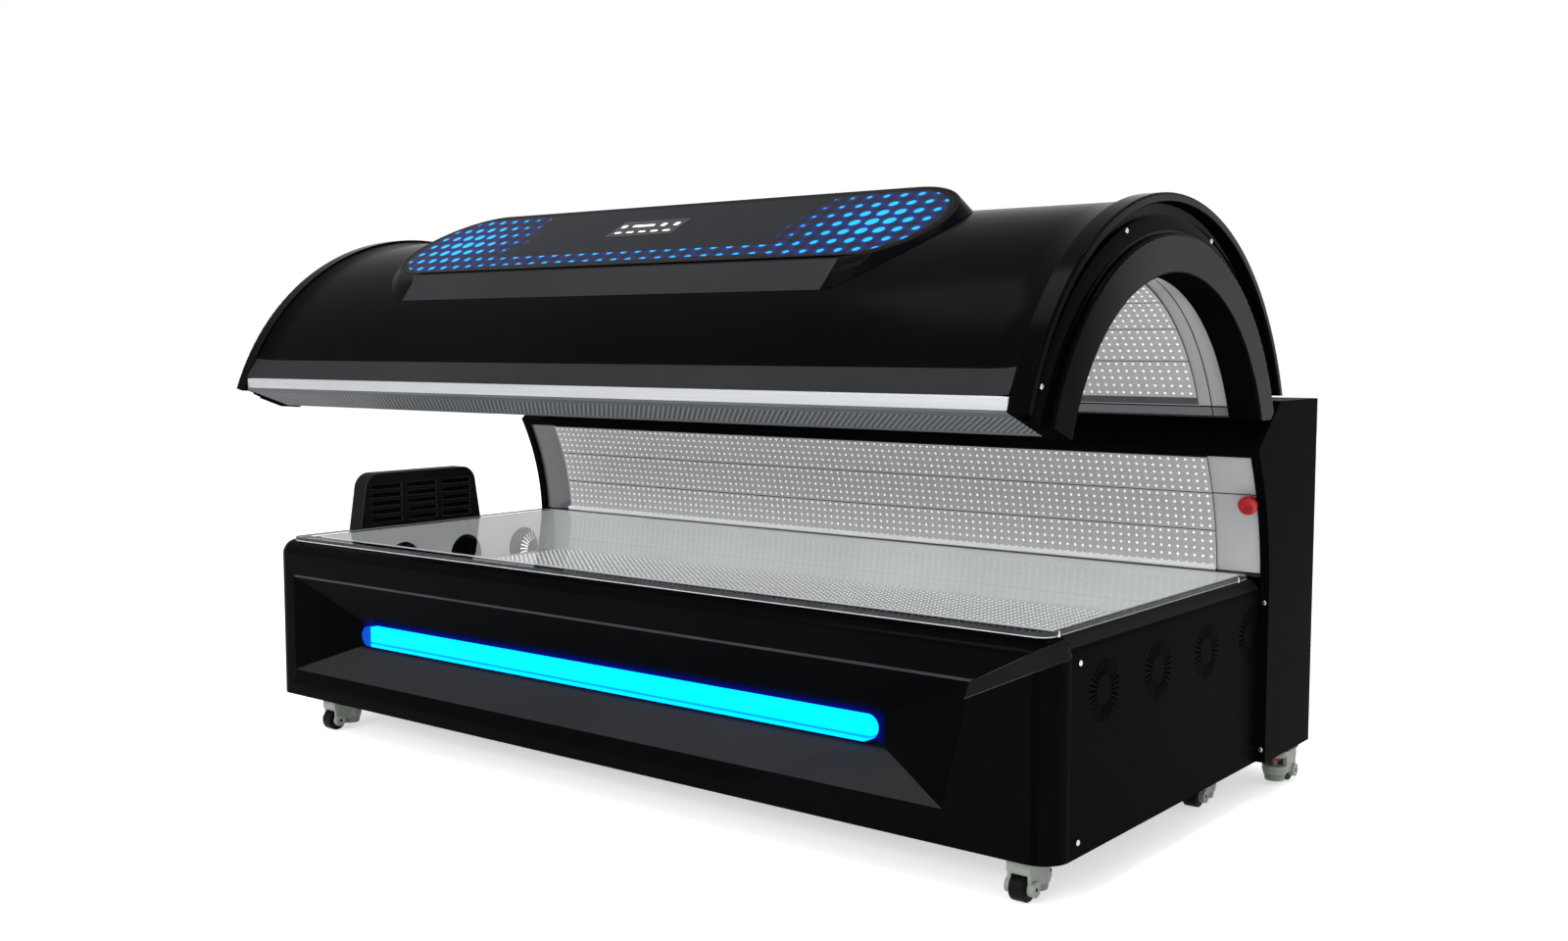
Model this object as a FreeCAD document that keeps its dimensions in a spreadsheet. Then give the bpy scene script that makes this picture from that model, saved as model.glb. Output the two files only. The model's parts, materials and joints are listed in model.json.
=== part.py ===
"""Light therapy bed: a wheeled base with a clear bed sheet, a rear wall and a hinged arched canopy.

Local directions: x along the bed, y from the front fascia towards the rear wall, z up from the floor.
Every piece is moved by the same offset, so that the origin ends up under the middle of the whole box.
"""
import FreeCAD, Part
import math
import os
import re

V = FreeCAD.Vector

# Driving dimensions in millimetres and degrees
SIZES = (
    # base box
    ("frame_half_x", 1040), ("panel_space", 39), ("column_step", 20), ("panel_wall", 3),
    ("base_bottom_z", 80), ("back_y", 1134), ("top_radius", 36), ("pan_wall", 4), ("pan_front_gap", 3),
    # clear bed sheet and the tray below it
    ("bed_z", 469.5), ("sheet_wall", 10), ("sheet_margin", 15), ("sheet_back_y", 870),
    ("sheet_corner", 30), ("tray_end_gap", 2), ("tray_front_y", 70), ("tray_back_y", 868),
    ("tray_depth", 115), ("tray_wall", 3), ("tray_hole_radius", 55), ("tray_hole_y", 325.7),
    ("tray_hole_pitch", 211.2), ("tray_hole_z", 375),
    # front fascia with its slanted recess and light bar
    ("fascia_wall", 4), ("fascia_return_y", 55), ("fascia_corner", 54),
    ("fascia_left_corner", 34), ("fascia_left_reach", 44), ("recess_depth", 60), ("recess_round", 14),
    ("recess_left_margin", 21.5), ("recess_right_margin", 163), ("recess_slant", 58),
    ("recess_top_z", 381), ("recess_bottom_z", 145), ("recess_wall", 5),
    ("bar_left_margin", 219.5), ("bar_right_margin", 177), ("bar_bottom_z", 226), ("bar_top_z", 274),
    ("bar_depth", 20),
    # rear cabinet
    ("column_front_y", 878), ("deck_z", 840), ("deck_front_y", 919), ("nose_y", 803), ("nose_z", 742),
    ("wall_mid_y", 851), ("wall_mid_z", 628), ("wall_foot_z", 470), ("deck_wall", 4),
    ("lip_drop", 16), ("lip_back", 5), ("liner_set_back", 8), ("wall_board_rows", 3),
    ("wall_left_margin", 101), ("wall_right_margin", 97), ("vent_length", 180),
    ("vent_height", 8), ("vent_pitch", 22), ("vent_shift", 204),
    # lamp boards
    ("board_wall", 3.6), ("board_gap", 2), ("board_margin", 53), ("board_width", 62),
    ("seat_gap", 0.4), ("canopy_board_margin", 68), ("canopy_board_foot_z", 846),
    # steel frame
    ("tube", 30), ("inner_post_shift", 10), ("shelf_z", 470), ("shelf_wall", 6),
    # fans behind the right end panel
    ("fan_first_y", 176), ("fan_pitch", 217.5), ("fan_z", 357), ("fan_side", 120), ("fan_depth", 25),
    ("fan_bore", 56), ("fan_hub", 20), ("fan_spindle", 2), ("fan_spindle_length", 20), ("fan_fit", 0.05),
    ("blade_tip", 53),
    ("blade_wall", 2), ("blade_chord", 16), ("strut_wall", 3), ("grille_inner", 27), ("grille_outer", 57),
    ("grille_slot", 3.5),
    # panel screws
    ("screw_head", 5.5), ("screw_head_height", 3.5), ("screw_shank", 2.5), ("screw_hole", 2.8),
    ("screw_length", 12), ("screw_inset", 28), ("screw_round", 2.1),
    # emergency stop
    ("stop_margin", 13), ("stop_z", 633), ("stop_collar_radius", 12.4), ("stop_collar_height", 12),
    ("stop_stem", 7), ("stop_bore", 7.1), ("stop_head_radius", 20), ("stop_head_height", 15),
    ("stop_travel", 6),
    # air hood on the left end
    ("hood_stand", 16), ("hood_depth", 50), ("hood_mid_y", 437), ("hood_half_y", 232),
    ("hood_top_half_y", 180), ("hood_bottom_z", 300), ("hood_top_z", 617), ("hood_wall", 4),
    ("hood_corner", 38), ("hood_flange_half_y", 200), ("hood_flange_top_z", 430),
    ("louvre_length", 96), ("louvre_height", 12), ("louvre_pitch_y", 118), ("louvre_pitch_z", 22),
    ("louvre_top_z", 586),
    # drivers on the floor pan
    ("driver_length", 200), ("driver_width", 90), ("driver_height", 46), ("driver_margin", 50),
    ("driver_y", 300),
    # canopy arch
    ("shell_radius", 560), ("arch_back_y", 974), ("arch_z", 660), ("hoop_stand", 12), ("hoop_wall", 18),
    ("hoop_edge", 4), ("shell_wall", 4), ("band_step", 40), ("face_step", 72), ("face_width", 75),
    ("sleeve_wall", 15), ("liner_wall", 3), ("face_set", 1), ("hoop_set", 8), ("band_set", 18),
    ("groove_set", 36), ("end_depth", 46), ("sleeve_length", 22), ("face_round", 7),
    ("lip_z", 851), ("lip_bottom_z", 803), ("lip_set", 8.8), ("flare_z", 919), ("trim_top_z", 876),
    ("trim_set", 7.2), ("trim_depth", 14), ("shell_end_z", 882), ("cover_wall", 4.3),
    ("heel_y", 868), ("heel_top_y", 915), ("heel_top_z", 850), ("canopy_board_rows", 11),
    ("rib_wall", 5), ("rib_x", 520), ("rail_back_y", 930), ("rail_side", 22), ("rail_wall", 4),
    ("rail_set", 24),
    ("end_screw_step", 46), ("end_screw_stand", 14), ("end_screw_head", 5.5), ("end_screw_sink", 0.6),
    # hinge and lift
    ("hinge_y", 1040), ("hinge_z", 866), ("hinge_x", 700), ("hinge_pin", 6), ("hinge_fit", 0.05),
    ("arm_half", 15), ("arm_bottom_z", 853), ("arm_top_z", 879), ("lug_wall", 12), ("lug_gap", 0.5),
    ("lug_half_y", 18), ("rod_y", 960), ("rod_radius", 10), ("rod_fit", 0.1), ("rod_foot_z", 585),
    ("rod_hole", 12), ("tube_radius", 24), ("tube_top_z", 800), ("motor_side", 90),
    ("motor_height", 130),
    # control pod
    ("pod_x", 30), ("pod_stand", 8.2), ("pod_shift", 66.3), ("pod_tilt", 28), ("pod_straight", 599),
    ("plate_radius", 156), ("pod_rim", 8), ("pod_foot_straight", 588), ("pod_front_flare", 146),
    ("pod_rear_flare", 24), ("pod_depth", 72), ("plate_wall", 5), ("fit_gap", 0.3),
    ("display_length", 200), ("display_width", 80), ("display_wall", 3), ("display_x", 36), ("display_v", 40),
    # levelling casters
    ("caster_right_margin", 42), ("caster_left_margin", 82), ("caster_front_y", 62),
    ("caster_mid_y", 772), ("caster_rear_margin", 11), ("caster_rear_y", 1045), ("wheel_radius", 25),
    ("wheel_width", 30), ("wheel_round", 3), ("wheel_trail", 22), ("axle_radius", 4), ("axle_fit", 0.05),
    ("fork_wall", 7), ("fork_gap", 1.5), ("fork_top_z", 75.7), ("boss_radius", 14), ("boss_stand", 5),
    ("foot_trail", 27), ("foot_house_radius", 27), ("foot_house_z", 23), ("house_taper", 3),
    ("house_taper_height", 11), ("stem_radius", 6), ("stem_fit", 0.1), ("pad_radius", 22.5),
    ("pad_taper", 2), ("pad_bottom_z", 10), ("pad_gap", 1), ("dial_radius", 17), ("dial_wall", 6),
    ("dial_z", 56), ("foot_travel", 12), ("dial_gap", 1), ("plate_side", 60), ("stud_radius", 5),
    ("stud_fit", 0.1), ("stud_bottom_z", 64), ("crown_reach", 15), ("arm_reach", 11.25),
)
# How far in from the corner the middle of a quarter round lies, as a share of its radius
ARC_IN = 1 - math.sqrt(0.5)
FAN_COUNT = 4
TRAY_HOLE_COUNT = 3
BLADE_COUNT = 7
GRILLE_SLOTS = 30
STRUT_COUNT = 4
LOUVRE_COLUMNS = 3
LOUVRE_ROWS = 5
VENT_ROWS = 9
DRIVER_COUNT = 6
END_SCREW_ANGLES = (26, 70, 110, 154)

# Sizes that follow from others: the base's width from its frame, the canopy's arch from its shell
TIED = (
    ("panel_face_x", "frame_half_x + panel_space"),
    ("column_face_x", "panel_face_x + column_step"),
    ("sheet_half_x", "panel_face_x - sheet_margin"),
    ("tray_half_x", "frame_half_x - tray_end_gap"),
    ("board_half_x", "tray_half_x - board_margin"),
    ("recess_left_x", "panel_face_x - recess_left_margin"),
    ("recess_right_top_x", "panel_face_x - recess_right_margin"),
    ("recess_right_bottom_x", "recess_right_top_x - recess_slant"),
    ("bar_left_x", "recess_left_x - bar_left_margin"),
    ("bar_right_x", "recess_right_bottom_x - bar_right_margin"),
    ("wall_boards_left_x", "panel_face_x - wall_left_margin"),
    ("wall_boards_right_x", "panel_face_x - wall_right_margin"),
    ("stop_x", "panel_face_x - stop_margin"),
    ("hood_face_x", "panel_face_x + hood_stand"),
    ("hood_out_x", "hood_face_x + hood_depth"),
    ("caster_right_x", "frame_half_x - caster_right_margin"),
    ("caster_left_x", "frame_half_x - caster_left_margin"),
    ("caster_rear_x", "panel_face_x - caster_rear_margin"),
    ("driver_pitch", f"2 * (frame_half_x - driver_margin) / {DRIVER_COUNT}"),
    ("inner_post_x", "driver_pitch + inner_post_shift"),
    ("vent_x", "inner_post_x + vent_shift"),
    ("face_x", "column_face_x - face_set"),
    ("hoop_x", "face_x - hoop_set"),
    ("band_x", "face_x - band_set"),
    ("groove_x", "face_x - groove_set"),
    ("end_back_x", "face_x - end_depth"),
    ("sleeve_x", "end_back_x - sleeve_length"),
    ("canopy_board_half_x", "sleeve_x - canopy_board_margin"),
    ("end_screw_x", "groove_x + end_screw_stand"),
    ("arch_y", "arch_back_y - shell_radius"),
    ("hoop_radius", "shell_radius + hoop_stand"),
    ("band_radius", "hoop_radius - band_step"),
    ("face_radius", "hoop_radius - face_step"),
    ("open_radius", "face_radius - face_width"),
    ("liner_radius", "open_radius + sleeve_wall"),
    ("end_screw_radius", "hoop_radius - end_screw_step"),
    ("trim_front_y", "sqrt(hoop_radius^2 - (lip_z - arch_z)^2) - arch_y - trim_set"),
    ("lip_inner_y", "arch_y - sqrt(open_radius^2 - (lip_bottom_z - arch_z)^2) - lip_set"),
    ("pod_y", "arch_y - (shell_radius + pod_stand) * sin(pod_tilt) + pod_shift * cos(pod_tilt)"),
    ("pod_z", "arch_z + (shell_radius + pod_stand) * cos(pod_tilt) + pod_shift * sin(pod_tilt)"),
)

doc = FreeCAD.newDocument("light_therapy_bed")
sheet = doc.addObject("Spreadsheet::Sheet", "sizes")
for row, (alias, number) in enumerate(SIZES, start=1):
    sheet.set(f"A{row}", alias)
    sheet.set(f"B{row}", str(number))
    sheet.setAlias(f"B{row}", alias)
doc.recompute()
for row, (alias, formula) in enumerate(TIED, start=len(SIZES) + 1):
    sheet.set(f"A{row}", alias)
    sheet.set(f"B{row}", f"={formula}")
    sheet.setAlias(f"B{row}", alias)
    doc.recompute()


class Sizes:
    """Gives each driving dimension as a float, read from the spreadsheet."""

    def __getattr__(self, alias):
        return float(sheet.get(alias))


s = Sizes()
ALIASES = {alias for alias, _ in SIZES + TIED}

# Offset of the local zero from the origin: half the box, left hood and front hoop included
front_reach = math.sqrt(s.hoop_radius**2 - (s.lip_z - s.arch_z) ** 2) - s.arch_y
OFFSET = V((s.hood_out_x - s.column_face_x) / 2, -(s.back_y - front_reach) / 2, 0)
OFFSET_TEXT = (
    "(hood_out_x - column_face_x) / 2",
    "-(back_y + arch_y - sqrt(hoop_radius^2 - (lip_z - arch_z)^2)) / 2",
    "0",
)
PARTS = []


def expr(text):
    """Turns a formula of size names into a formula that reads the spreadsheet."""
    return re.sub(r"[a-z_]\w*", lambda m: f"sizes.{m[0]}" if m[0] in ALIASES else m[0], str(text))


def bind(obj, **formulas):
    for prop, text in formulas.items():
        obj.setExpression(prop, expr(text))


def bind_place(obj, x="0", y="0", z="0"):
    for axis, text, offset in zip("xyz", (x, y, z), OFFSET_TEXT):
        obj.setExpression(f".Placement.Base.{axis}", expr(f"{offset} + ({text})"))


def part(label, obj):
    """Marks an object as a finished sub-part under its own label."""
    obj.Label = label
    PARTS.append(obj)
    return obj


def block(name, x, y, z):
    """A box between two formulas on each axis."""
    obj = doc.addObject("Part::Box", name)
    bind(obj, Length=f"({x[1]}) - ({x[0]})", Width=f"({y[1]}) - ({y[0]})", Height=f"({z[1]}) - ({z[0]})")
    bind_place(obj, x[0], y[0], z[0])
    return obj


def rod(name, radius, length, at, axis=V(0, 0, 1)):
    """A cylinder whose foot stands at three formulas and which points along axis."""
    obj = doc.addObject("Part::Cylinder", name)
    bind(obj, Radius=radius, Height=length)
    obj.Placement.Rotation = FreeCAD.Rotation(V(0, 0, 1), axis)
    bind_place(obj, *at)
    return obj


def fuse(name, shapes):
    obj = doc.addObject("Part::MultiFuse", name)
    obj.Shapes = shapes
    obj.Refine = True
    return obj


def cut(name, base, tool):
    obj = doc.addObject("Part::Cut", name)
    obj.Base = base
    obj.Tool = tool
    return obj


def feature(name, shape, moved=True):
    """A shape made with Part's own functions, in local coordinates."""
    obj = doc.addObject("Part::Feature", name)
    obj.Shape = shape
    if moved:
        obj.Placement.Base = OFFSET
    return obj


def outline_edges(outline):
    """Lines and arcs of a closed outline; an item of two points is an arc through the first."""
    edges = []
    here = outline[0]
    for item in list(outline[1:]) + [outline[0]]:
        if isinstance(item[0], tuple):
            through, end = item
            edges.append(Part.Arc(V(*here, 0), V(*through, 0), V(*end, 0)))
        else:
            end = item
            if math.dist(here, end) < 1e-6:
                continue
            edges.append(Part.LineSegment(V(*here, 0), V(*end, 0)))
        here = end
    return edges


def new_sketch(body, plane, outline):
    sketch = body.newObject("Sketcher::SketchObject", f"{body.Name}_sketch")
    support = next(item for item in body.Origin.OriginFeatures if item.Role == plane)
    sketch.AttachmentSupport = [(support, "")]
    sketch.MapMode = "FlatFace"
    sketch.addGeometry(outline_edges(outline))
    return sketch


def padded(name, plane, outline, length, x="0", y="0", z="0"):
    """A body padded evenly to both sides of the plane of its outline."""
    body = doc.addObject("PartDesign::Body", name)
    pad = body.newObject("PartDesign::Pad", f"{name}_pad")
    pad.Profile = new_sketch(body, plane, outline)
    pad.SideType = "Symmetric"
    bind(pad, Length=length)
    bind_place(body, x, y, z)
    return body


def turned(name, plane, axis, outline):
    """A body turned a full circle about an axis of its origin."""
    body = doc.addObject("PartDesign::Body", name)
    spin = body.newObject("PartDesign::Revolution", f"{name}_turn")
    spin.Profile = new_sketch(body, plane, outline)
    spin.ReferenceAxis = (next(item for item in body.Origin.OriginFeatures if item.Role == axis), [""])
    spin.Angle = 360
    return body


def box_shape(x, y, z):
    return Part.makeBox(x[1] - x[0], y[1] - y[0], z[1] - z[0], V(x[0], y[0], z[0]))


def circle_through(p, q, r):
    """Centre and radius of the circle through three points."""
    arc = Part.Arc(V(*p, 0), V(*q, 0), V(*r, 0)).toShape().Curve
    return (arc.Center.x, arc.Center.y), arc.Radius


def on_circle(centre, radius, height, side):
    """Point of a circle at a height, on the front (-1) or the rear (1) side."""
    return centre[0] + side * math.sqrt(radius**2 - (height - centre[1]) ** 2), height


def stadium(straight, radius):
    return [
        (-straight, -radius),
        (straight, -radius),
        ((straight + radius, 0), (straight, radius)),
        (-straight, radius),
        ((-straight - radius, 0), (-straight, -radius)),
    ]


ARCH = (s.arch_y, s.arch_z)
WALL_POINTS = ((s.nose_y, s.nose_z), (s.wall_mid_y, s.wall_mid_z), (s.column_front_y, s.wall_foot_z))
WALL_CENTRE, WALL_RADIUS = circle_through(*WALL_POINTS)
sheet_top_z = s.bed_z + s.sheet_wall
CASTERS = [
    (f"{row}_{side}", x, y, heading)
    for row, left_x, right_x, y, heading in (
        ("front", -s.caster_left_x, s.caster_right_x, s.caster_front_y, -1),
        ("middle", -s.caster_left_x, s.caster_right_x, s.caster_mid_y, -1),
        ("rear", -s.caster_rear_x, s.caster_rear_x, s.caster_rear_y, 1),
    )
    for side, x in (("left", left_x), ("right", right_x))
]


def base_pan():
    """Floor pan with a plate and a swivel stud over each caster."""
    pan_z = ("base_bottom_z", "base_bottom_z + pan_wall")
    pieces = [
        block(
            "pan_front",
            ("-frame_half_x", "frame_half_x"),
            ("fascia_wall + pan_front_gap", "column_front_y"),
            pan_z,
        ),
        block("pan_rear", ("-panel_face_x", "panel_face_x"), ("column_front_y", "back_y - deck_wall"), pan_z),
    ]
    for name, x, y, _ in CASTERS:
        half = "plate_side / 2"
        plate_z = ("base_bottom_z - pan_wall", "base_bottom_z")
        pieces.append(
            block(
                f"plate_{name}",
                (f"{x} - {half}", f"{x} + {half}"),
                (f"{y} - {half}", f"{y} + {half}"),
                plate_z,
            )
        )
        length = "base_bottom_z - stud_bottom_z"
        pieces.append(rod(f"stud_{name}", "stud_radius", length, (x, y, "stud_bottom_z")))
    part("base_pan", fuse("base_pan", pieces))


def base_frame():
    """Welded square tubes that carry the tray, the deck and the lift shelf."""
    low = ("base_bottom_z + pan_wall", "base_bottom_z + pan_wall + tube")
    tray_z = "bed_z - tray_depth"
    high = (f"{tray_z} - tube", tray_z)
    post = (low[1], high[0])
    front = ("recess_depth + recess_wall", "recess_depth + recess_wall + tube")
    rear = ("tray_back_y - tube", "tray_back_y")
    back = ("back_y - deck_wall - tube", "back_y - deck_wall")
    wide = ("-frame_half_x", "frame_half_x")
    bars = []
    for row, y in (("front", front), ("rear", rear)):
        bars.append(block(f"rail_low_{row}", wide, y, low))
        bars.append(block(f"rail_high_{row}", wide, y, high))
        for x in ("-frame_half_x", "-inner_post_x - tube", "inner_post_x", "frame_half_x - tube"):
            bars.append(block(f"post_{row}", (x, f"{x} + tube"), y, post))
    for x in ("-frame_half_x", "-inner_post_x - tube", "inner_post_x", "frame_half_x - tube"):
        bars.append(block("cross_high", (x, f"{x} + tube"), (front[1], rear[0]), high))
        bars.append(block("cross_low", (x, f"{x} + tube"), (front[1], back[1]), low))
    deck_under = "deck_z - deck_wall"
    full = ("-panel_face_x", "panel_face_x")
    bars.append(block("rail_low_back", full, back, low))
    bars.append(block("rail_deck", full, back, (f"{deck_under} - tube", deck_under)))
    for x in ("-panel_face_x", "panel_face_x - tube"):
        bars.append(block("post_back", (x, f"{x} + tube"), back, (low[1], f"{deck_under} - tube")))
    shelf_y = ("column_front_y + tube / 2", back[0])
    bars.append(block("shelf", full, shelf_y, ("shelf_z", "shelf_z + shelf_wall")))
    part("base_frame", fuse("base_frame", bars))


def fascia_block(wall, depth):
    """Rounded block of the fascia, set in by a wall on the front, the ends and the top.

    The outer block reaches past the left end panel, so that the fascia ends there in a thick moulded corner.
    """
    half = s.panel_face_x - wall
    far = half if wall else half + s.fascia_left_reach
    top = s.bed_z - wall
    left, right = s.fascia_left_corner, s.fascia_corner
    left_nick = (left - wall) * ARC_IN
    right_nick = (right - wall) * ARC_IN
    outline = [
        (-far, depth),
        (-far, left),
        ((-far + left_nick, wall + left_nick), (-far + left - wall, wall)),
        (s.panel_face_x - right, wall),
        ((half - right_nick, wall + right_nick), (half, right)),
        (half, depth),
    ]
    wire = Part.Wire([edge.toShape() for edge in outline_edges(outline)])
    solid = Part.Face(wire).extrude(V(0, 0, top - s.base_bottom_z + wall))
    solid.translate(V(0, 0, s.base_bottom_z - wall))
    rim = [
        edge
        for edge in solid.Edges
        if all(abs(vertex.Z - top) < 1e-6 for vertex in edge.Vertexes) and edge.CenterOfMass.y < depth - 1e-6
    ]
    return solid.makeFillet(s.top_radius - wall, rim)


def recess_shape(margin, depth):
    """Slanted sides of the recess, from the front face to the floor behind the light bar.

    The two corners at its left end are rounded.
    """
    front = [
        (-s.recess_left_x - margin, s.recess_bottom_z - margin),
        (s.recess_right_bottom_x + margin, s.recess_bottom_z - margin),
        (s.recess_right_top_x + margin, s.recess_top_z + margin),
        (-s.recess_left_x - margin, s.recess_top_z + margin),
    ]
    floor = [
        (-s.bar_left_x - margin, s.bar_bottom_z - margin),
        (s.bar_right_x + margin, s.bar_bottom_z - margin),
        (s.bar_right_x + margin, s.bar_top_z + margin),
        (-s.bar_left_x - margin, s.bar_top_z + margin),
    ]
    rings = [
        Part.makePolygon([V(x, y, z) for x, z in ring + ring[:1]]) for ring, y in ((front, 0), (floor, depth))
    ]
    loft = Part.makeLoft(rings, True, True)
    left_edges = [
        edge
        for edge in loft.Edges
        if edge.CenterOfMass.x < 0 and abs(edge.Vertexes[0].Y - edge.Vertexes[1].Y) > depth / 2
    ]
    return loft.makeFillet(s.recess_round + margin, left_edges)


def front_fascia():
    """Moulded front cover: rounded ends and top, and a slanted recess for the light bar."""
    shell = fascia_block(0, s.fascia_return_y).cut(fascia_block(s.fascia_wall, s.fascia_return_y))
    shell = shell.fuse(recess_shape(s.recess_wall, s.recess_depth + s.recess_wall))
    shell = shell.cut(recess_shape(0, s.recess_depth)).removeSplitter()
    part("front_fascia", feature("front_fascia", shell))


def fascia_light_bar():
    radius = (s.bar_top_z - s.bar_bottom_z) / 2
    straight = (s.bar_left_x + s.bar_right_x) / 2 - radius
    bar = padded(
        "fascia_light_bar",
        "XZ_Plane",
        stadium(straight, radius),
        "bar_depth",
        x="(bar_right_x - bar_left_x) / 2",
        y="recess_depth - bar_depth / 2",
        z="(bar_top_z + bar_bottom_z) / 2",
    )
    part("fascia_light_bar", bar)


def fan_centres():
    return [s.fan_first_y + index * s.fan_pitch for index in range(FAN_COUNT)]


def screw_heights():
    return (s.base_bottom_z + s.screw_inset, s.bed_z - s.top_radius - s.screw_inset / 2)


def panel_screws(side):
    """Places and directions of an end's screws: two in the panel, two in the edge of the rear plate."""
    panel_y = s.fascia_return_y + s.screw_inset
    plate_x = side * (s.column_face_x + s.panel_face_x) / 2
    places = [(V(side * s.panel_face_x, panel_y, z), V(side, 0, 0)) for z in screw_heights()]
    return places + [(V(plate_x, s.column_front_y, z), V(0, -1, 0)) for z in screw_heights()]


def screw_holes(side):
    depth = s.screw_length + 1
    return [
        Part.makeCylinder(s.screw_hole, 2 * depth, at - outward * depth, outward)
        for at, outward in panel_screws(side)
    ]


def panel_cuts(side):
    """Radial grille slots in front of the fans, and the screw holes."""
    outer, inner = side * (s.panel_face_x + 1), side * (s.panel_face_x - s.panel_wall - 1)
    x = (min(outer, inner), max(outer, inner))
    half = s.grille_slot / 2
    tools = []
    for y in fan_centres():
        for index in range(GRILLE_SLOTS):
            slot = box_shape(x, (-half, half), (s.grille_inner, s.grille_outer))
            slot.rotate(V(), V(1, 0, 0), index * 360 / GRILLE_SLOTS)
            slot.translate(V(0, y, s.fan_z))
            tools.append(slot)
    return Part.makeCompound(tools + screw_holes(side)[:2])


def end_panel(label, side):
    """Sheet end panel whose top rolls over to the clear sheet."""
    face, inner = s.panel_face_x, s.panel_face_x - s.panel_wall
    bend_z, bend_x = s.bed_z - s.top_radius, s.panel_face_x - s.top_radius
    slant = math.sqrt(0.5)
    reach, inner_reach = s.top_radius * slant, (s.top_radius - s.panel_wall) * slant
    outline = [
        (face, s.base_bottom_z),
        (face, bend_z),
        ((bend_x + reach, bend_z + reach), (bend_x, s.bed_z)),
        (bend_x, s.bed_z - s.panel_wall),
        ((bend_x + inner_reach, bend_z + inner_reach), (inner, bend_z)),
        (inner, s.base_bottom_z),
    ]
    if side < 0:
        outline = [
            tuple((-x, z) for x, z in item) if isinstance(item[0], tuple) else (-item[0], item[1])
            for item in outline
        ]
    sheet_body = padded(
        f"{label}_sheet",
        "XZ_Plane",
        outline,
        "column_front_y - fascia_return_y",
        y="(column_front_y + fascia_return_y) / 2",
    )
    part(label, cut(label, sheet_body, feature(f"{label}_cuts", panel_cuts(side))))


def screw(at, outward, radius):
    """Dome-headed screw whose head sits on the surface at a point."""
    head = Part.makeCylinder(radius, s.screw_head_height, at, outward)
    rim = [edge for edge in head.Edges if (edge.CenterOfMass - at).dot(outward) > s.screw_head_height / 2]
    head = head.makeFillet(s.screw_round, [edge for edge in rim if edge.Closed and edge.Length > 1])
    return head.fuse(Part.makeCylinder(s.screw_shank, s.screw_length, at, -outward)).removeSplitter()


def end_panel_screws():
    places = panel_screws(-1) + panel_screws(1)
    shape = Part.makeCompound([screw(at, outward, s.screw_head) for at, outward in places])
    part("end_panel_screws", feature("end_panel_screws", shape))


def bed_sheet():
    """Clear sheet that the user lies on."""
    half, back, corner = s.sheet_half_x, s.sheet_back_y, s.sheet_corner
    nick = corner * ARC_IN
    outline = [
        (-half + corner, 0),
        (half - corner, 0),
        ((half - nick, nick), (half, corner)),
        (half, back - corner),
        ((half - nick, back - nick), (half - corner, back)),
        (-half + corner, back),
        ((-half + nick, back - nick), (-half, back - corner)),
        (-half, corner),
        ((-half + nick, nick), (-half + corner, 0)),
    ]
    part("bed_sheet", padded("bed_sheet", "XY_Plane", outline, "sheet_wall", z="bed_z + sheet_wall / 2"))


def bed_tray():
    """Open pan under the clear sheet, with air inlets in its left wall that end at its floor."""
    outer = block(
        "tray_outer",
        ("-tray_half_x", "tray_half_x"),
        ("tray_front_y", "tray_back_y"),
        ("bed_z - tray_depth", "bed_z"),
    )
    inner = block(
        "tray_inner",
        ("-tray_half_x + tray_wall", "tray_half_x - tray_wall"),
        ("tray_front_y + tray_wall", "tray_back_y - tray_wall"),
        ("bed_z - tray_depth + tray_wall", "bed_z + tray_wall"),
    )
    floor_z = "bed_z - tray_depth + tray_wall"
    holes = [
        rod(
            "tray_hole",
            "tray_hole_radius",
            "tray_wall * 4",
            ("-tray_half_x - tray_wall", f"tray_hole_y + {index} * tray_hole_pitch", "tray_hole_z"),
            V(1, 0, 0),
        )
        for index in range(TRAY_HOLE_COUNT)
    ]
    below_floor = block(
        "tray_hole_foot",
        ("-tray_half_x - 2 * tray_wall", "-tray_half_x + 4 * tray_wall"),
        ("tray_front_y", "tray_back_y"),
        ("tray_hole_z - tray_hole_radius - tray_wall", floor_z),
    )
    inlets = cut("tray_inlets", fuse("tray_holes", holes), below_floor)
    part("bed_tray", cut("bed_tray", outer, fuse("tray_space", [inner, inlets])))


def bed_lamp_boards():
    """Flat lamp boards side by side on the tray's floor."""
    floor_z = s.bed_z - s.tray_depth + s.tray_wall
    pitch = s.board_width + s.board_gap
    space = s.tray_back_y - s.tray_front_y - 2 * s.tray_wall
    count = int((space + s.board_gap) // pitch)
    first_y = (s.tray_front_y + s.tray_back_y - count * pitch + s.board_gap) / 2
    boards = [
        box_shape(
            (-s.board_half_x, s.board_half_x),
            (first_y + index * pitch, first_y + index * pitch + s.board_width),
            (floor_z, floor_z + s.board_wall),
        )
        for index in range(count)
    ]
    part("bed_lamp_boards", feature("bed_lamp_boards", Part.makeCompound(boards)))


def rear_side(label, side):
    """End plate of the rear cabinet, cut along the curve of the wall."""
    outline = [
        (s.column_front_y, s.base_bottom_z),
        (s.back_y, s.base_bottom_z),
        (s.back_y, s.deck_z),
        (s.deck_front_y, s.deck_z),
        (s.nose_y, s.nose_z),
        ((s.wall_mid_y, s.wall_mid_z), (s.column_front_y, s.wall_foot_z)),
    ]
    middle = f"{side} * (column_face_x + panel_face_x) / 2"
    plate = padded(f"{label}_plate", "YZ_Plane", outline, "column_face_x - panel_face_x", x=middle)
    holes = Part.makeCompound(screw_holes(side)[2:])
    part(label, cut(label, plate, feature(f"{label}_holes", holes)))


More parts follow.
